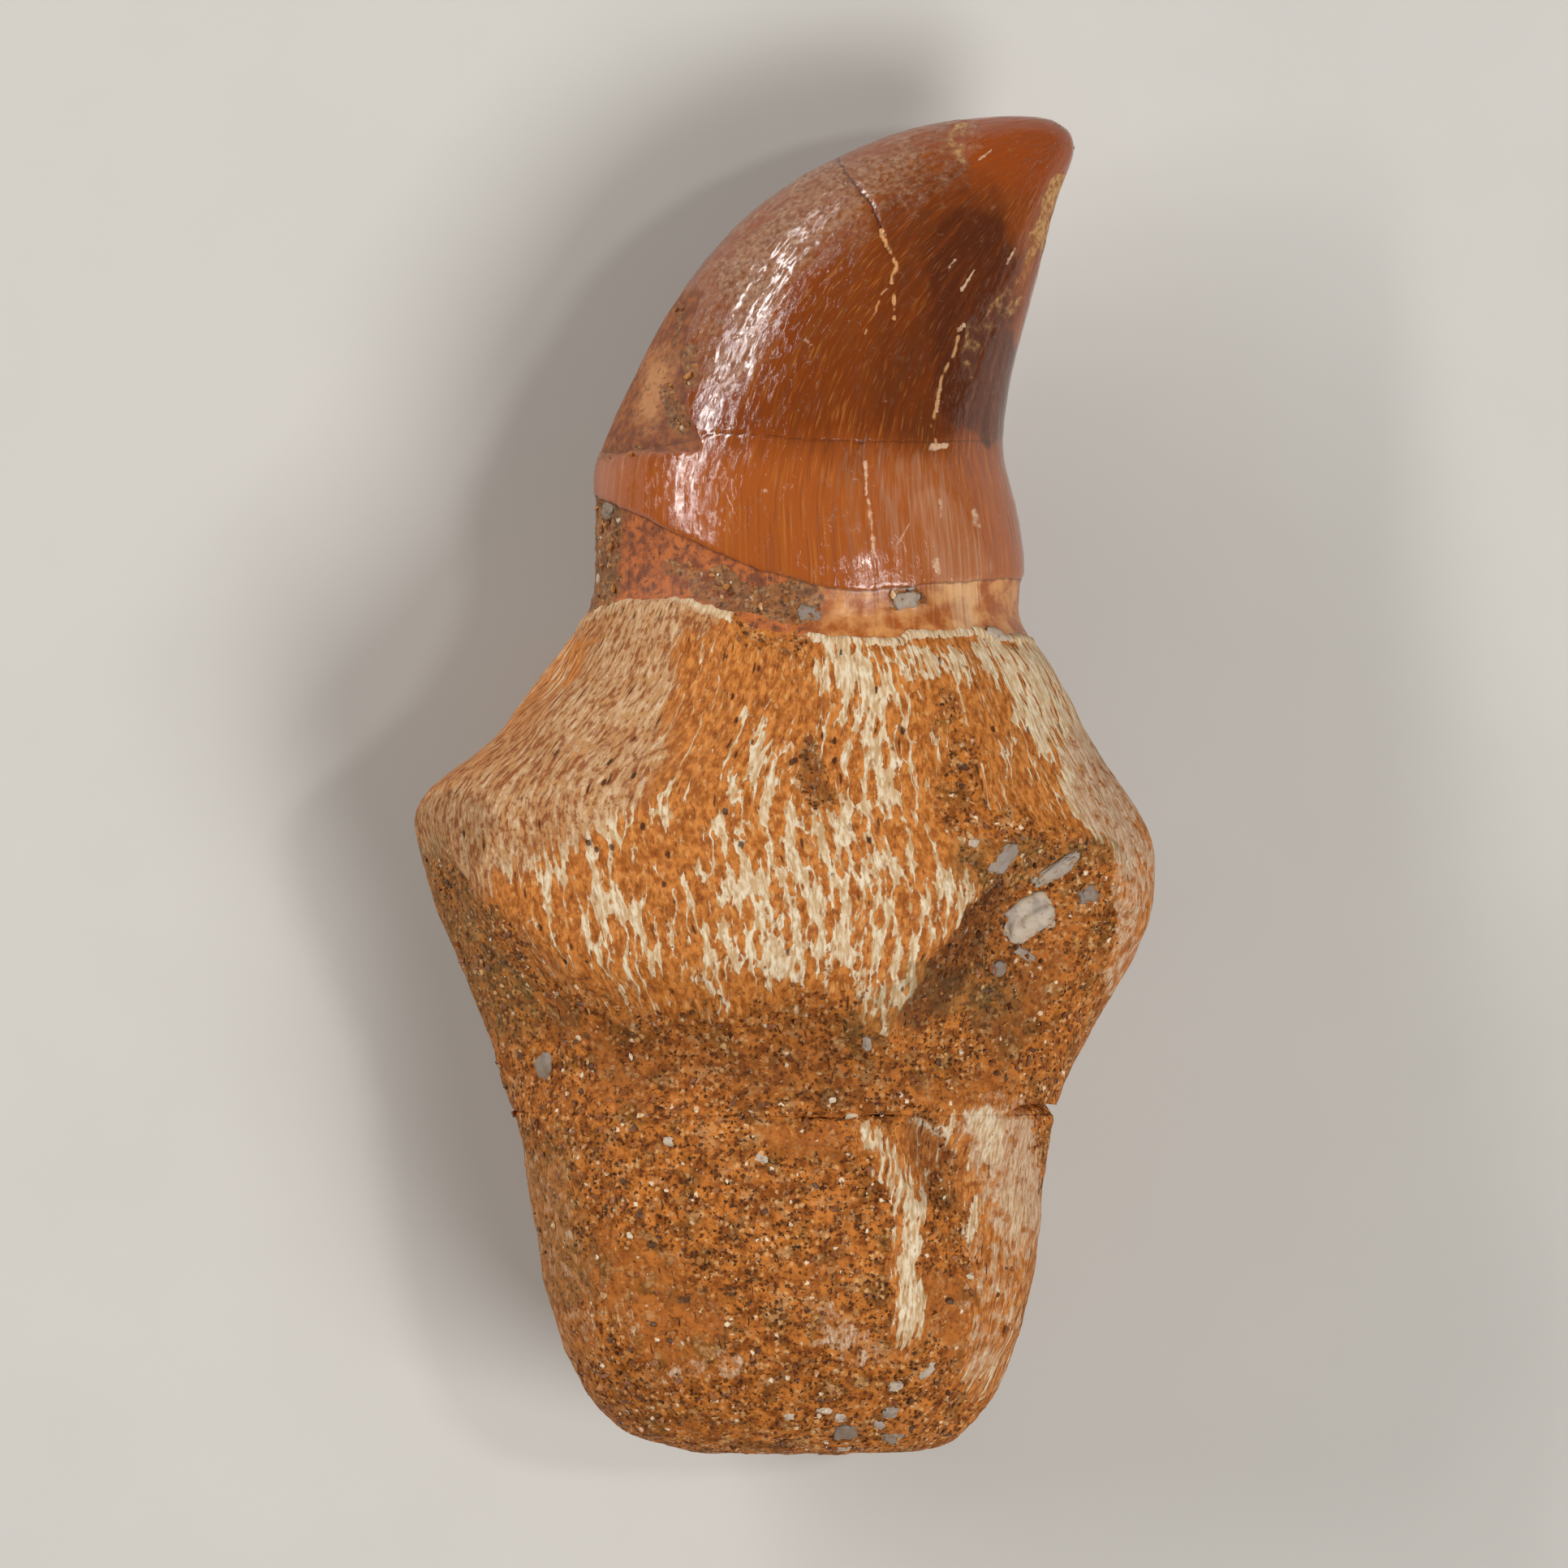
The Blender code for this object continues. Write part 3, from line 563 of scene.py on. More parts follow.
def make_root(piece, flow_of):
    """Moves the relief of fibrous bone and sandy rock into a piece of the root, and paints its masks."""
    places, normals = places_of(piece), normals_of(piece)
    x, y, _z = places.T
    rise = normals[:, 2]
    front = smooth_step(-0.35, 0.05, rise)
    flow = flow_of.at(places)

    sway = 0.45 * rough(places, 1.5, 1) + 0.25 * rough(places, 0.5, 2)
    sway_x, sway_y = x + sway, y + 0.9 * rough(places, 1.3, 3)
    blotches = rough(places, (2.6, 5.0, 2.6), 4)

    below_rim = height_on(FLARE_RIM, x) - sway_y + 0.6 * rough(places, 0.45, 14)
    rim_sand = 0.9 * smooth_step(-1.8, 2.6, below_rim)
    sand = painted(SAND, sway_x, sway_y, 0.0)
    unpainted = painted(SAND, sway_x, sway_y, 1.0) - sand
    sand = sand + unpainted * rim_sand
    sand = front * sand + (1 - front) * np.clip(0.45 + 0.9 * rough(places, (3.5, 4.5, 3.5), 5), 0, 1)
    cream_level = painted(CREAM, sway_x, sway_y, 0.34)
    fading = smooth_step(-1.6, 1.4, below_rim) * smooth_step(3.4, 2.2, x) * smooth_step(-13.6, -12.4, y)
    cream_level = cream_level - 0.40 * fading
    cream_level = front * cream_level + (1 - front) * np.clip(0.5 + 0.6 * blotches, 0.1, 0.8)

    strands = 0.62 * rough(flow, (0.40, 0.40, 2.3), 6) + 0.38 * rough(flow, (0.21, 0.21, 0.9), 7)
    pore_way, pore_number = cells(flow, (0.46, 0.46, 1.0), 8)
    pores = smooth_step(0.26, 0.10, pore_way) * (pore_number > 0.72) * (1 - sand)

    grit = 0.55 * rough(places, 0.30, 9) + 0.45 * rough(places, 0.62, 10)
    relief = STRAND_HEIGHT * strands * (1 - 0.6 * sand)
    relief -= PORE_DEPTH * pores
    relief += sand * (GRIT_HEIGHT * grit - 0.04)
    relief += 0.10 * rough(places, 1.7, 11)
    relief += front * PIT_RIM_HEIGHT * smooth_step(0.55, 0.0, distance_to(PIT_RIM, sway_x, y))
    relief += front * GROOVE_RIM_HEIGHT * smooth_step(0.45, 0.0, distance_to(GROOVE_RIM, sway_x, y))

    break_line = BREAK_Y + 0.16 * rough(np.column_stack((x, x * 0, x * 0)), 0.9, 12)
    cut = np.where(front > 0.3, height_on(BREAK_DEPTHS, x), 0.12)
    relief -= cut * smooth_step(0.19, 0.02, np.abs(y - break_line))

    above_lip = y - height_on(LIP_LINE, x) + 0.12 * rough(places, 0.5, 13)
    in_gap = smooth_step(-2.4, -1.6, x) * smooth_step(1.4, 0.7, x) * front
    lip_width = np.where(x < 0, 0.5, 0.32)
    lip = (1 - in_gap) * smooth_step(-1.0, -0.5, above_lip / lip_width) * smooth_step(-9.5, -8.0, x)
    relief += LIP_HEIGHT * lip
    cream_level = np.maximum(cream_level, 1.15 * lip)
    sand = sand * (1 - lip)
    sinking = LIP_DROP * (1 - in_gap) * smooth_step(0.0, 0.28, above_lip)
    sinking += LIP_DROP * in_gap * smooth_step(-0.1, 1.0, above_lip)
    sand = np.maximum(sand, 0.75 * in_gap * smooth_step(-1.6, -0.4, above_lip))

    moved = places + normals * relief[:, None] + flow_of.inward(places, sinking)
    moved[:, 2] = np.maximum(moved[:, 2], LOW[2])
    put_places(piece, moved)
    put_flow_and_masks(
        piece, flow, cream=cream_level, pores=pores, sand=sand,
        shade=shown(front, SHADE, sway_x, sway_y),
        green=shown(front, GREEN, sway_x, sway_y, 0.3 * smooth_step(0, 0.4, blotches)),
        tan=shown(front, TAN, sway_x, sway_y, 0.5),
        cloudy=shown(front, CLOUDY, sway_x, sway_y, 0.4),
        calm=shown(front, CALM, sway_x, sway_y, 0.25, 0.25),
    )


def crack(line, x, y, width, strays):
    """1 in the middle of a crack and 0 beside it."""
    return smooth_step(width, 0.2 * width, distance_to(line, x + strays, y + strays))


def make_crown(piece, flow_of):
    """Moves the enamel's edge, chips, cracks and striae into the crown, and paints its masks."""
    places, normals = places_of(piece), normals_of(piece)
    x, y, _z = places.T
    front = smooth_step(-0.2, 0.15, normals[:, 2])
    flow = crown_flow(places)
    sway = 0.30 * rough(places, 1.2, 21) + 0.14 * rough(places, 0.4, 22)
    sway_x, sway_y = x + sway, y + 0.7 * rough(places, 1.4, 23)

    above_enamel = y - height_on(ENAMEL_LINE, x) + 0.35 * sway
    enamel = smooth_step(-0.12, 0.12, above_enamel)
    chip_across = np.interp(y, *np.array([(b, a) for a, b in CHIP_EDGE[::-1]]).T) + 0.6 * sway
    chip_low = 13.2 + 0.5 * sway
    chip = smooth_step(0.08, -0.08, x - chip_across) * smooth_step(0, 0.3, y - chip_low)
    chip *= smooth_step(20.6, 19.4, y + sway) * front
    strip = shown(front, WORN_STRIP, sway_x, sway_y)
    bloom = shown(front, BLOOM_AND_SHEEN, sway_x, sway_y)
    chip_dark = shown(front, CHIP_DARK, x + 0.6 * sway, y + sway)
    band_sand = (1 - enamel) * shown(front, BAND_SAND, sway_x, sway_y, 0.8)
    band_sand = np.maximum(band_sand, 0.7 * chip_dark)

    strays = 0.05 * rough(places, 0.3, 24)
    broken = smooth_step(-0.55, 0.05, rough(places, 0.30, 32))
    tan_crack = crack(FORKED_CRACK[4:], x, y, 0.12, strays) * broken
    tan_crack += 0.7 * crack(FORK, x, y, 0.08, strays) * broken
    flaked = smooth_step(-0.25, 0.15, rough(places, 0.4, 25))
    tan_crack += 0.7 * crack(SIDE_CRACK, x, y, 0.12, strays) * flaked
    dark_crack = crack(FORKED_CRACK[:6], x, y, 0.10, strays) + 0.6 * crack(CROSS_CRACK, x, y, 0.085, strays)
    dark_crack += 0.5 * crack(LONG_CRACK, x + 0.08, y, 0.09, strays)
    tan_crack, dark_crack = front * np.clip(tan_crack, 0, 1), front * np.clip(dark_crack, 0, 1)

    grit = 0.5 * rough(places, 0.26, 26) + 0.5 * rough(places, 0.6, 27)
    crinkled = 0.10 + 0.35 * bloom + 0.15 * smooth_step(0.0, 0.35, rough(places, (1.2, 2.0, 1.2), 31))
    relief = ENAMEL_HEIGHT * enamel - CHIP_DEPTH * chip - 0.05 * strip
    relief += enamel * (1 - chip) * STRIAE_HEIGHT * rough(flow, (0.28, 0.4, 5.0), 28)
    relief += 0.05 * rough(places, (2.2, 3.4, 2.2), 29) * enamel
    relief += 0.05 * chip * grit + 0.03 * strip * grit
    relief += (1 - enamel) * (0.04 + 0.12 * band_sand) * grit
    relief -= 0.03 * tan_crack + 0.06 * dark_crack + chip_dark * (0.06 - 0.12 * grit)
    puckers = 0.55 * rough(flow, (0.24, 0.3, 0.40), 30) + 0.60 * rough(flow, (0.55, 0.6, 1.1), 33)
    relief += PUCKER_HEIGHT * enamel * (1 - chip) * crinkled * puckers

    below_lip = height_on(LIP_LINE, x) - y
    sinking = 0.8 * smooth_step(0.15, 0.6, below_lip)

    put_places(piece, places + normals * relief[:, None] + flow_of.inward(places, sinking))
    put_flow_and_masks(
        piece, flow, enamel=enamel, chip=chip, strip=strip, sand=band_sand, bloom=bloom,
        tan_crack=tan_crack, dark_crack=dark_crack, chip_dark=chip_dark,
        # dark: painted shade on the crown's right side, over its own darker brown
        dark=shown(front, DARK_AND_SHADED_ENAMEL, sway_x, sway_y, 0.3),
        glow=painted(TIP_GLOW, sway_x, sway_y, 0.0),
        chip_pale=chip * painted(CHIP_PALE, sway_x, y + sway, 0.0),
        # flecks: real pale flecks and scratches, with painted glints and highlight streaks
        flecks=shown(front, FLECKS_AND_GLINTS, x, y),
        # sheen: painted sheen and a painted highlight
        sheen=shown(front, SHEEN, sway_x, y),
    )


def mask_of(piece, name):
    values = np.empty(len(piece.data.vertices), np.float32)
    piece.data.attributes[name].data.foreach_get("value", values)
    return values


def grain_shapes():
    """A few angular grains, each an ico sphere with its corners knocked about."""
    shapes = []
    for seed in range(6):
        bpy.ops.mesh.primitive_ico_sphere_add(subdivisions=1, radius=1)
        grain = bpy.context.object
        bpy.ops.object.mode_set(mode="EDIT")
        bpy.ops.transform.vertex_random(offset=0.45, uniform=1, seed=seed + 1)
        bpy.ops.object.mode_set(mode="OBJECT")
        corners = np.array([vertex.co for vertex in grain.data.vertices])
        faces = np.array([face.vertices for face in grain.data.polygons])
        shapes.append((corners, faces))
        bpy.data.objects.remove(grain)
    return shapes


def strew(name, hosts, count, sizes, seed):
    """Many small grains half sunk in the sandy places of the host pieces, joined in one mesh."""
    draw = np.random.default_rng(seed)
    shapes = grain_shapes()
    grounds, ups, weights = [], [], []
    for host in hosts:
        places, normals = places_of(host), normals_of(host)
        off_floor = places[:, 2] > LOW[2] + 0.6
        clumps = 0.15 + smooth_step(0.0, 0.35, rough(places, 0.9, seed))
        flat = smooth_step(0.1, 0.5, np.abs(normals[:, 2]))
        weights.append(off_floor * mask_of(host, "sand") ** 2 * clumps * flat)
        grounds.append(places)
        ups.append(normals)
    grounds, ups, weights = np.vstack(grounds), np.vstack(ups), np.concatenate(weights)
    chosen = draw.choice(len(grounds), count, replace=False, p=weights / weights.sum())
    corners, faces, tints = [], [], []
    filled = 0
    for index in chosen:
        shape, sides = shapes[draw.integers(len(shapes))]
        half = sizes[0] + (sizes[1] - sizes[0]) * draw.random() ** 3
        stretch = half * draw.uniform((0.7, 0.7, 0.6), (1.3, 1.1, 0.9))
        turn = np.array(Euler(draw.uniform(0, math.tau, 3)).to_matrix())
        middle = grounds[index] + ups[index] * half * 0.15
        corners.append((shape * stretch) @ turn.T + middle)
        faces.append(sides + filled)
        tints.append(np.full(len(shape), draw.random()))
        filled += len(shape)
    mesh = bpy.data.meshes.new(name)
    mesh.from_pydata((np.vstack(corners) * MM).tolist(), [], np.vstack(faces).tolist())
    piece = add_object(name, mesh)
    put_mask(piece, "tint", np.concatenate(tints))
    return piece


def ground_under(hosts, x, y):
    """The height of the surface at a place seen from above, and the way it faces, if it is there."""
    hits = [host.ray_cast(Vector((x * MM, y * MM, 1)), Vector((0, 0, -1))) for host in hosts]
    hits = [(hit[1].z / MM, hit[2]) for hit in hits if hit[0]]
    return max(hits, key=lambda hit: hit[0]) if hits else (0, Vector((0, 0, 0)))


def make_pebbles(hosts):
    """Rounded pebbles of the rock, half sunk where they are cemented to the tooth."""
    stones = []
    for number, ((x, y), along, across, slope, tint) in enumerate(PEBBLES):
        top, facing = ground_under(hosts, x, y)
        for step in (0.3, 0.6):
            for over, up in ((step, 0), (-step, 0), (0, step), (0, -step)):
                facing = facing + ground_under(hosts, x + over, y + up)[1]
        facing.normalize()
        tilt = Vector((0, 0, 1)).rotation_difference(facing).to_matrix()
        bpy.ops.mesh.primitive_ico_sphere_add(subdivisions=4, radius=1)
        stone = bpy.context.object
        turn = Matrix.Rotation(math.radians(slope), 3, "Z")
        for vertex in stone.data.vertices:
            corner = Vector([abs(part) ** 0.84 * math.copysign(1, part) for part in vertex.co])
            swell = 0.36 * noise.noise(vertex.co * 1.5 + Vector((number * 3.1, 0, 0)))
            swell += 0.16 * noise.noise(vertex.co * 4 + Vector((0, number * 2.3, 0)))
            shape = corner * (1 + swell)
            shape = turn @ Vector((shape.x * along, shape.y * across, shape.z * across * 0.55))
            vertex.co = (tilt @ shape + Vector((x, y, top)) - 0.2 * across * facing) * MM
        put_mask(stone, "tint", np.full(len(stone.data.vertices), tint))
        stones.append(stone)
    bpy.ops.object.select_all(action="DESELECT")
    for stone in stones:
        stone.select_set(True)
    bpy.context.view_layer.objects.active = stones[0]
    bpy.ops.object.join()
    stones[0].name = "pebbles"
    return stones[0]


def colour(code):
    """A colour written as sRGB hex, as the linear values that Blender takes."""
    values = [int(code[i:i + 2], 16) / 255 for i in (1, 3, 5)]
    linear = [v / 12.92 if v <= 0.04045 else ((v + 0.055) / 1.055) ** 2.4 for v in values]
    return (*linear, 1)


# The kinds of node that the materials are made of: Blender's name, the settings, the sockets that
# are fed in order, and the output that is used
KINDS = {
    "place": ("ShaderNodeTexCoord", {}, (), "Object"),
    "mask": ("ShaderNodeAttribute", {}, (), "Fac"),
    "flow": ("ShaderNodeAttribute", {"attribute_name": "flow"}, (), "Vector"),
    "axes": ("ShaderNodeSeparateXYZ", {}, (0,), "Y"),
    "tints": ("ShaderNodeSeparateColor", {}, (0,), "Red"),
    "product": ("ShaderNodeMath", {"operation": "MULTIPLY"}, (0, 1), 0),
    "sum": ("ShaderNodeMath", {"operation": "ADD"}, (0, 1), 0),
    "difference": ("ShaderNodeMath", {"operation": "SUBTRACT"}, (0, 1), 0),
    "scaled_sum": ("ShaderNodeMath", {"operation": "MULTIPLY_ADD"}, (0, 1, 2), 0),
    "larger": ("ShaderNodeMath", {"operation": "MAXIMUM"}, (0, 1), 0),
    "scaled": ("ShaderNodeVectorMath", {"operation": "SCALE"}, (0, "Scale"), 0),
    "moved": ("ShaderNodeVectorMath", {"operation": "ADD"}, (0, 1), 0),
    "mapped": ("ShaderNodeMapping", {}, ("Vector", "Location", "Scale"), 0),
    "step": ("ShaderNodeMapRange", {"interpolation_type": "SMOOTHSTEP"}, (0, 1, 2, 3, 4), 0),
    "number": ("ShaderNodeMix", {"data_type": "FLOAT"}, (0, 2, 3), 0),
    "normal": ("ShaderNodeMix", {"data_type": "VECTOR"}, (0, 4, 5), 1),
    "paint": ("ShaderNodeMix", {"data_type": "RGBA"}, (0, 6, 7), 2),
    "noise": ("ShaderNodeTexNoise", {}, ("Vector", "Scale", "Detail", "Roughness"), 0),
    "cells": ("ShaderNodeTexVoronoi", {}, ("Vector", "Scale"), "Distance"),
    "bump": ("ShaderNodeBump", {}, ("Height", "Distance", "Strength", "Normal"), 0),
}


def add(tree, kind, *values, **settings):
    """Adds a node, links its inputs or sets their values in order, and gives the output that is used."""
    name, usual, sockets, output = KINDS[kind]
    node = tree.nodes.new(name)
    for setting, choice in {**usual, **settings}.items():
        setattr(node, setting, choice)
    for socket, value in zip(sockets, values):
        if isinstance(value, bpy.types.NodeSocket):
            tree.links.new(value, node.inputs[socket])
        else:
            node.inputs[socket].default_value = colour(value) if isinstance(value, str) else value
    return node.outputs[output]


def start_material(name):
    """A new material, its node tree, and the place on the piece in millimetres."""
    material = bpy.data.materials.new(name)
    material.use_nodes = True
    tree = material.node_tree
    return material, tree, add(tree, "scaled", add(tree, "place"), 1 / MM)


def finish_material(material, base, roughness, normal, ior, specular=0.5):
    shader = material.node_tree.nodes["Principled BSDF"]
    for socket, value in (("Base Color", base), ("Roughness", roughness), ("Normal", normal)):
        material.node_tree.links.new(value, shader.inputs[socket])
    shader.inputs["IOR"].default_value = ior
    shader.inputs["Specular IOR Level"].default_value = specular
    return material


def lumps(tree, vector, size, detail=2.0, stretch=(1, 1, 1), seed=0):
    """Noise with lumps of about that size in millimetres, longer where it is stretched."""
    shift = (seed * 17.3, seed * 7.1, seed * 29.9)
    moved = add(tree, "mapped", vector, shift, [1 / (size * longer) for longer in stretch])
    return add(tree, "noise", moved, 1.0, detail, 0.58)


def coated(tree, base, *coats):
    """A colour with coats laid over it, each where its pattern goes from one level to another.

    A coat is the pattern, the two levels, how far it covers what is below, and its colour.
    """
    for pattern, start, end, cover, coat in coats:
        base = add(tree, "paint", add(tree, "step", pattern, start, end, 0.0, cover), base, coat)
    return base


def frayed(tree, name, pattern, reach):
    """A mask with its edge moved about by a pattern."""
    mask = add(tree, "mask", attribute_name=name)
    return add(tree, "sum", mask, add(tree, "scaled_sum", pattern, reach, -reach / 2))


def strayed(tree, vector, scale, reach):
    """Places moved about a little, so that a pattern's edges come out ragged."""
    stray = add(tree, "noise", vector, scale, 2.0, 0.5).node.outputs["Color"]
    return add(tree, "moved", vector, add(tree, "scaled", stray, reach))


def canals(tree, flow, size, longer):
    """Long cells: how far from each one's middle, and two random numbers for it."""
    scale = (1 / size, 1 / size, 1 / (size * longer))
    moved = add(tree, "mapped", strayed(tree, flow, 1.2, 0.30), (0, 0, 0), scale)
    away = add(tree, "cells", moved, 1.0)
    tints = add(tree, "tints", away.node.outputs["Color"])
    return away, tints, tints.node.outputs["Green"]


def sandstone(tree, place, calm):
    """Phosphatic sandstone: orange iron cement full of brown, olive and pale grains.

    Quartz and phosphate grains in such rock are 0.1 to 0.3 mm across. Where it is calm, cement
    covers the grains. It gives the colour, the share that is pale grain, and how far from the
    middle of a grain each place is.
    """
    busy = add(tree, "difference", 1.0, calm)
    base = coated(tree, "#84440C", (lumps(tree, place, 0.50, 7.0), 0.36, 0.62, 1.0, "#CA7A30"))
    base = coated(
        tree, add(tree, "paint", calm, base, "#AE6428"),
        (lumps(tree, place, 1.3, 6.0, seed=1), 0.50, 0.66, 0.65, "#6A4614"),
        (lumps(tree, place, 0.65, 6.0, seed=2), 0.54, 0.68, 0.60, "#D09A62"),
    )

    away = add(tree, "cells", strayed(tree, place, 8.0, 0.20), 1 / 0.20)
    tint = add(tree, "tints", away.node.outputs["Color"])
    inside = add(tree, "step", away, 0.66, 0.30)
    dark_grain = add(tree, "product", add(tree, "step", tint, 0.62, 0.80, 0.0, 0.90), inside)
    tan_grain = add(tree, "product", add(tree, "step", tint, 0.26, 0.12, 0.0, 0.75), inside)
    pits = add(tree, "step", lumps(tree, place, 0.17, 5.0, seed=4), 0.54, 0.65)
    for grain, coat in ((dark_grain, "#4A2408"), (tan_grain, "#E0AE74"), (pits, "#2E1603")):
        base = add(tree, "paint", add(tree, "product", grain, busy), base, coat)
    dot = add(tree, "product", add(tree, "step", tint, 0.018, 0.010), inside)
    return add(tree, "paint", dot, base, "#F0DCBC"), dot, away


def bone_material():
    """Fossil jaw bone: mineralised, matt, cream where clean and orange where iron has stained it.

    Long vascular canals, 0.1 to 0.3 mm wide, run through the cream bone, filled with orange stain
    or left as dark pores, and sandstone still fills the hollows.
    """
    material, tree, place = start_material("mineralised_bone")
    flow = add(tree, "flow")
    fibres = lumps(tree, flow, 0.10, 3.0, (1, 1, 5))
    clouds = lumps(tree, place, 1.6, 4.0)
    specks = lumps(tree, place, 0.13, 4.0)
    blurs = lumps(tree, place, 0.55, 5.0, seed=5)
    flecks = lumps(tree, flow, 0.17, 4.0, (1, 1, 2.0), 9)
    dashes = lumps(tree, flow, 0.13, 3.0, (1, 1, 3.5), 6)

    level = frayed(tree, "cream", clouds, 0.6)
    level = add(tree, "sum", level, add(tree, "scaled_sum", flecks, 0.5, -0.25))
    holes, has_hole, hole_tint = canals(tree, flow, 0.215, 7.5)
    widest = add(tree, "step", level, 0.10, 0.95, 1.00, 0.16)
    widest = add(tree, "product", widest, add(tree, "step", has_hole, 0.0, 1.0, 0.62, 1.30))
    filled = add(tree, "step", add(tree, "difference", holes, widest), 0.06, -0.06)
    cloudy = add(tree, "mask", attribute_name="cloudy")
    soft = add(tree, "difference", add(tree, "scaled_sum", blurs, 1.7, -0.32), level)
    filled = add(tree, "number", cloudy, filled, add(tree, "step", soft, -0.14, 0.16))

    ground = coated(
        tree, "#9A5418",
        (lumps(tree, flow, 0.18, 5.0, (1, 1, 2.2), 10), 0.34, 0.66, 1.0, "#D2843C"),
        (blurs, 0.52, 0.66, 0.60, "#8E4712"),
        (dashes, 0.57, 0.68, 0.65, "#DDA868"),
        (dashes, 0.42, 0.32, 0.70, "#6E340C"),
    )
    cream = coated(
        tree, "#C09A6C",
        (fibres, 0.38, 0.62, 1.0, "#E8D8BA"),
        (blurs, 0.42, 0.62, 0.45, "#D2B084"),
        (dashes, 0.40, 0.33, 0.60, "#9A6432"),
    )
    tan = coated(
        tree, "#B08054",
        (fibres, 0.36, 0.62, 1.0, "#CEA67C"),
        (blurs, 0.46, 0.66, 0.80, "#B9854C"),
        (flecks, 0.52, 0.62, 0.85, "#8C4A20"),
        (flecks, 0.42, 0.35, 0.60, "#E0C4A0"),
    )
    pink = coated(
        tree, "#AE825E",
        (fibres, 0.36, 0.62, 1.0, "#D6B698"),
        (specks, 0.50, 0.66, 0.50, "#A4683C"),
    )
    is_tan = add(tree, "mask", attribute_name="tan")
    cream = add(tree, "paint", is_tan, cream, tan)
    cream = add(tree, "paint", add(tree, "product", cloudy, 0.8), cream, pink)
    rust = coated(tree, "#C28C58", (flecks, 0.38, 0.60, 1.0, "#8E4E22"))
    stain = add(tree, "paint", is_tan, ground, rust)
    bone = add(tree, "paint", filled, cream, stain)
    pitted = add(tree, "step", hole_tint, 0.74, 0.80)
    pitted = add(tree, "product", pitted, add(tree, "step", holes, 0.24, 0.10))

    calm = frayed(tree, "calm", lumps(tree, place, 2.2, 5.0, seed=6), 1.6)
    rock, dot, away = sandstone(tree, place, add(tree, "step", calm, 0.10, 0.85, 0.0, 0.62))
    sand_edge = frayed(tree, "sand", blurs, 1.1)
    sand_edge = add(tree, "sum", sand_edge, add(tree, "scaled_sum", flecks, 1.2, -0.60))
    sandy = add(tree, "step", sand_edge, 0.36, 0.64)
    base = add(tree, "paint", sandy, bone, rock)
    olive = add(tree, "step", blurs, 0.4, 0.6, 0.25, 0.6)
    olive = add(tree, "product", add(tree, "mask", attribute_name="green"), olive)
    base = add(tree, "paint", olive, base, "#6B6038")
    # Painted shade in hollows and under the rim, with a few real dark patches
    shade = add(tree, "product", add(tree, "mask", attribute_name="shade"), 0.60)
    base = add(tree, "paint", shade, base, "#40200A")
    dark = add(tree, "step", add(tree, "mask", attribute_name="pores"), 0.35, 0.8)
    dark = add(tree, "larger", pitted, dark)
    base = add(tree, "paint", add(tree, "product", dark, 0.85), base, "#3A1B0A")

    roughness = add(tree, "number", sandy, 0.68, 0.74)
    roughness = add(tree, "number", add(tree, "product", sandy, dot), roughness, 0.30)
    woven = add(tree, "scaled_sum", filled, -0.6, fibres)
    gritty = add(tree, "step", away, 0.0, 0.8, 0.5, 0.0)
    gritty = add(tree, "sum", gritty, lumps(tree, place, 0.14, 3.0, seed=7))
    relief = add(tree, "bump", add(tree, "number", sandy, woven, gritty), 0.05 * MM, 0.8)
    return finish_material(material, base, roughness, relief, 1.5, 0.2)


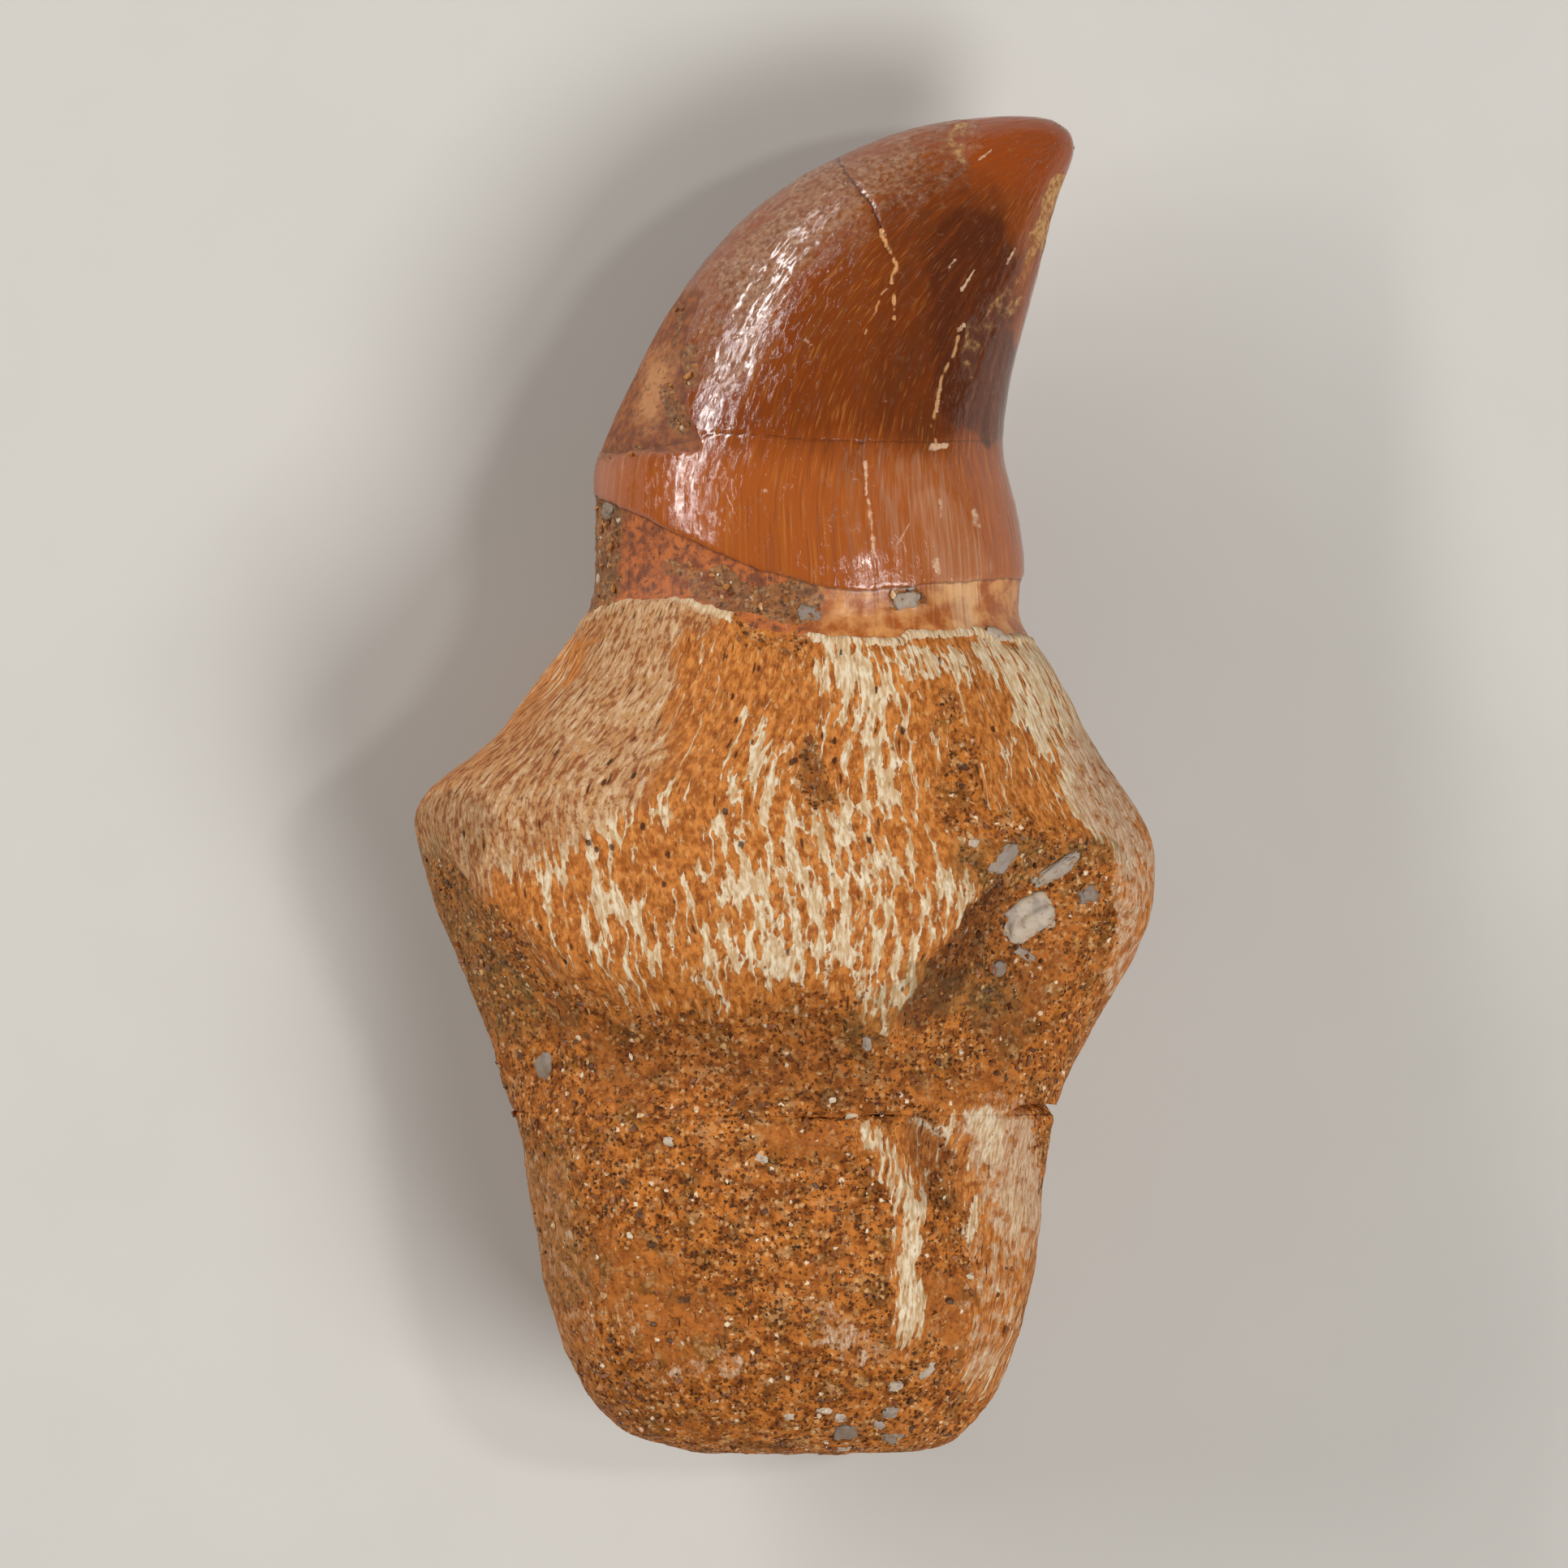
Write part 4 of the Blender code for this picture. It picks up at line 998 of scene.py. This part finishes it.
def enamel_material():
    """Fossil tooth enamel: hard, glossy, red-brown, with hair-fine striae that run to the tip.

    Its outer skin is crinkled and bloomed along the back of the crown, where a lilac-grey painted
    sheen lies over it. Where it has chipped away, matt orange dentine shows, and rough red cement
    lies below its edge. The crown's right side is painted darker as painted shade, and painted
    sheen, painted highlights and a painted glow at the tip lie on the enamel. Real striae are about
    0.05 mm apart, which is too fine to show, so they are drawn twice as wide.
    """
    material, tree, place = start_material("fossil_enamel")
    flow = add(tree, "flow")
    striae = lumps(tree, flow, 0.10, 1.5, (1, 1, 60))
    streaks = lumps(tree, flow, 0.34, 2.0, (1, 1, 22), 1)
    blurs = lumps(tree, place, 0.50, 6.0, seed=2)
    mottle = lumps(tree, place, 0.24, 6.0, seed=3)
    height = add(tree, "axes", place)
    across = height.node.outputs["X"]

    base = coated(
        tree, "#8A3F0A",
        (height, 24.5, 17.0, 1.0, "#7E3600"),
        (add(tree, "scaled_sum", streaks, 2.0, height), 15.6, 13.2, 1.0, "#A4521A"),
        (streaks, 0.50, 0.72, 0.34, "#B86822"),
        (striae, 0.44, 0.30, 0.26, "#C8823C"),
        # 461800 is painted shade on the crown's right side, over its own darker brown
        (frayed(tree, "dark", streaks, 1.2), 0.05, 1.05, 0.88, "#461800"),
    )
    bloomy = frayed(tree, "bloom", blurs, 1.6)
    # The lilac-grey tint is a painted sheen over the real bloom
    bloom_and_sheen_tint = coated(tree, "#743F18", (mottle, 0.32, 0.68, 1.0, "#B08868"))
    base = coated(
        # 964208 is a painted glow at the tip
        tree, add(tree, "paint", add(tree, "mask", attribute_name="glow"), base, "#964208"),
        (striae, 0.54, 0.68, 0.45, "#561E00"),
        (striae, 0.36, 0.26, 0.18, "#C8823C"),
        (bloomy, 0.10, 1.00, 0.80, bloom_and_sheen_tint),
    )
    # Painted sheen and painted highlight, broken into streaks along the striae
    painted_sheen = add(tree, "step", frayed(tree, "sheen", striae, 1.6), 0.10, 1.05, 0.0, 0.62)

    dentine = coated(
        tree, "#6E3206",
        (blurs, 0.38, 0.64, 1.0, "#96521A"),
        (frayed(tree, "chip_pale", mottle, 1.0), 0.10, 1.10, 0.80, "#C28650"),
        (lumps(tree, place, 0.24, 5.0, seed=5), 0.55, 0.68, 0.80, "#6A3614"),
    )
    rock = sandstone(tree, place, 0.2)[0]
    crust = add(tree, "paint", 0.5, rock, "#4A331A")
    worn = coated(tree, "#86561F", (mottle, 0.30, 0.70, 1.0, "#D8A868"))
    chipped = add(tree, "mask", attribute_name="chip")
    base = coated(
        tree, add(tree, "paint", painted_sheen, base, "#D6A480"),
        # E2BC9A: pale flecks, with painted glints and painted highlight streaks
        (frayed(tree, "flecks", mottle, 1.8), 0.25, 0.95, 0.90, "#E2BC9A"),
        (chipped, 0.35, 0.65, 1.0, dentine),
        (frayed(tree, "chip_dark", blurs, 1.4), 0.35, 0.70, 1.0, crust),
        (frayed(tree, "strip", blurs, 2.4), 0.35, 0.95, 0.80, worn),
    )

    clear = add(tree, "step", add(tree, "scaled_sum", blurs, 1.6, across), 0.8, 3.2)
    cement = coated(
        tree, "#743404",
        (blurs, 0.36, 0.60, 1.0, "#B8601A"),
        (lumps(tree, place, 0.22, 6.0, seed=7), 0.54, 0.68, 0.85, "#421A04"),
    )
    amber = coated(tree, "#A25216", (lumps(tree, place, 0.9, 6.0, seed=8), 0.38, 0.62, 1.0, "#D08E50"))
    cement = add(tree, "paint", clear, cement, amber)
    enamel = add(tree, "mask", attribute_name="enamel")
    # ECC496 is a painted highlight on the cement band
    cement = coated(
        tree, add(tree, "paint", painted_sheen, cement, "#ECC496"),
        (frayed(tree, "sand", blurs, 1.4), 0.36, 0.64, 1.0, add(tree, "paint", 0.44, rock, "#4A3616")),
        (enamel, 0.02, 0.30, 0.60, "#4A1E08"),
    )
    covered = add(tree, "step", enamel, 0.40, 0.65)
    base = coated(
        tree, add(tree, "paint", covered, cement, base),
        (add(tree, "mask", attribute_name="dark_crack"), 0.20, 0.90, 0.75, "#35140A"),
        (add(tree, "mask", attribute_name="tan_crack"), 0.20, 0.75, 1.0, "#D29A62"),
    )

    strip, crusted = (add(tree, "mask", attribute_name=name) for name in ("strip", "chip_dark"))
    bare = add(tree, "larger", chipped, add(tree, "larger", strip, crusted))
    roughness = add(tree, "number", add(tree, "step", bloomy, 0.15, 0.95), 0.13, 0.16)
    roughness = add(tree, "number", bare, roughness, 0.75)
    roughness = add(tree, "number", covered, add(tree, "number", clear, 0.70, 0.34), roughness)

    puckers = add(tree, "step", lumps(tree, flow, 0.24, 4.0, (1, 1, 2.0), 9), 0.34, 0.48)
    wrinkled = add(tree, "product", puckers, add(tree, "step", bloomy, -0.1, 0.7, 0.22, 0.75))
    relief = add(tree, "bump", wrinkled, 0.035 * MM, 0.9, add(tree, "bump", striae, 0.004 * MM, 0.8))
    gritty = add(tree, "bump", mottle, 0.03 * MM, 0.7)
    return finish_material(material, base, roughness, add(tree, "normal", covered, gritty, relief), 1.6)


def grain_material():
    """Grains of quartz and phosphate sand, angular, some clear enough to glint."""
    material, tree, place = start_material("quartz_and_phosphate_sand")
    tint = add(tree, "mask", attribute_name="tint")
    base = coated(
        tree, "#4E2C10",
        (tint, 0.10, 0.30, 1.0, "#8A4C1A"),
        (tint, 0.35, 0.80, 1.0, "#B87838"),
        (tint, 0.90, 0.93, 1.0, "#CFA670"),
        (tint, 0.975, 0.98, 1.0, "#EADCC0"),
        (lumps(tree, place, 0.08), 0.40, 0.70, 0.40, "#8F5A2A"),
    )
    roughness = add(tree, "number", add(tree, "step", tint, 0.7, 0.8), 0.55, 0.30)
    relief = add(tree, "bump", lumps(tree, place, 0.06), 0.01 * MM, 0.5)
    return finish_material(material, base, roughness, relief, 1.54)


def pebble_material():
    """Water-worn pebbles of grey-white chert, matt, with sand still stuck in their pores."""
    material, tree, place = start_material("chert_pebble")
    tint = add(tree, "mask", attribute_name="tint")
    base = coated(
        tree, "#7C6A58",
        (tint, 0.30, 0.90, 1.0, "#B8A793"),
        (tint, 0.85, 1.00, 1.0, "#C8B59D"),
        (lumps(tree, place, 0.8, 3.0), 0.42, 0.64, 0.60, "#8E807A"),
        (lumps(tree, place, 0.28, 5.0, seed=1), 0.56, 0.68, 0.75, "#8A6238"),
    )
    roughness = add(tree, "number", lumps(tree, place, 0.4), 0.48, 0.64)
    relief = add(tree, "bump", lumps(tree, place, 0.12, 3.0), 0.03 * MM, 0.6)
    return finish_material(material, base, roughness, relief, 1.54)


def floor_material():
    """A matt, pale studio board."""
    material, tree, place = start_material("pale_studio_board")
    base = add(tree, "paint", lumps(tree, place, 9.0), "#C9C6C0", "#CFCCC6")
    roughness = add(tree, "number", lumps(tree, place, 4.0), 0.75, 0.85)
    relief = add(tree, "bump", lumps(tree, place, 0.6), 0.01 * MM, 0.2)
    return finish_material(material, base, roughness, relief, 1.45)


def lay_floor():
    bpy.ops.mesh.primitive_plane_add(size=1.6, location=(0, 0, 0))
    floor = bpy.context.object
    floor.name = "floor"
    floor.data.materials.append(floor_material())


def add_light(name, direction, away, width, height, power, roll=0):
    """A soft box that looks at the tooth from a direction, turned by roll degrees about its own axis."""
    light = bpy.data.lights.new(name, "AREA")
    light.shape = "RECTANGLE"
    light.size, light.size_y = width, height
    light.energy = power
    lamp = add_object(name, light)
    back = Vector(direction).normalized()
    lamp.location = Vector((0, 0, MIDDLE_Z * MM)) + back * away
    turn = (-back).to_track_quat("-Z", "Y").to_matrix() @ Matrix.Rotation(math.radians(roll), 3, "Z")
    lamp.rotation_euler = turn.to_euler()


def light_the_tooth():
    add_light("left_strip", (-0.72, 0.50, 0.46), 0.45, 0.54, 0.036, 1.38, 18)
    add_light("top_strip", (-0.50, 0.82, 0.26), 0.45, 0.28, 0.013, 0.22, 44)
    add_light("front_box", (0.50, -0.36, 0.79), 0.80, 0.40, 0.30, 4.2)
    add_light("small_lamp", (0.45, 0.06, 0.89), 0.70, 0.04, 0.07, 0.6)
    world = bpy.data.worlds.new("studio_air")
    world.use_nodes = True
    world.node_tree.nodes["Background"].inputs["Color"].default_value = colour("#FFF4E8")
    world.node_tree.nodes["Background"].inputs["Strength"].default_value = 0.17
    bpy.context.scene.world = world
    bpy.context.scene.view_settings.view_transform = "Standard"


def aim_camera():
    """A long lens straight above, so that the photo's frame and the tooth's length agree."""
    frame_pixels, tooth_pixels = 1932, 1649
    away = 0.60
    data = bpy.data.cameras.new("camera")
    data.sensor_width = 36
    seen_width = LENGTH * MM * frame_pixels / tooth_pixels
    data.lens = data.sensor_width * away / seen_width
    camera = add_object("camera", data)
    camera.location = (0, 0, MIDDLE_Z * MM + away)
    data.clip_start, data.clip_end = 0.01, 5
    bpy.context.scene.camera = camera


def main():
    form = smooth_form()
    flow_of = RootFlow(form)
    crown = cut_from(form, "crown", CROWN_BOTTOM, None)
    upper_root = cut_from(form, "upper_root", BREAK_Y - OVERLAP, ROOT_TOP)
    lower_root = cut_from(form, "lower_root", None, BREAK_Y)
    bpy.data.objects.remove(form)

    add_remesh(crown, CROWN_VOXEL, 3)
    refine_front(crown, 0.25)
    make_crown(crown, flow_of)
    for piece in (upper_root, lower_root):
        add_remesh(piece, ROOT_VOXEL, 2)
        refine_front(piece, 0.12)
        make_root(piece, flow_of)

    hosts = (crown, upper_root, lower_root)
    sand = strew("sand_grains", hosts, SAND_GRAINS, GRAIN_HALF_SIZES, 5)
    pebbles = make_pebbles(hosts)
    dress(crown, enamel_material())
    bone = bone_material()
    dress(upper_root, bone)
    dress(lower_root, bone)
    dress(sand, grain_material())
    sand.data.shade_flat()
    dress(pebbles, pebble_material())

    lay_floor()
    light_the_tooth()
    aim_camera()


main()
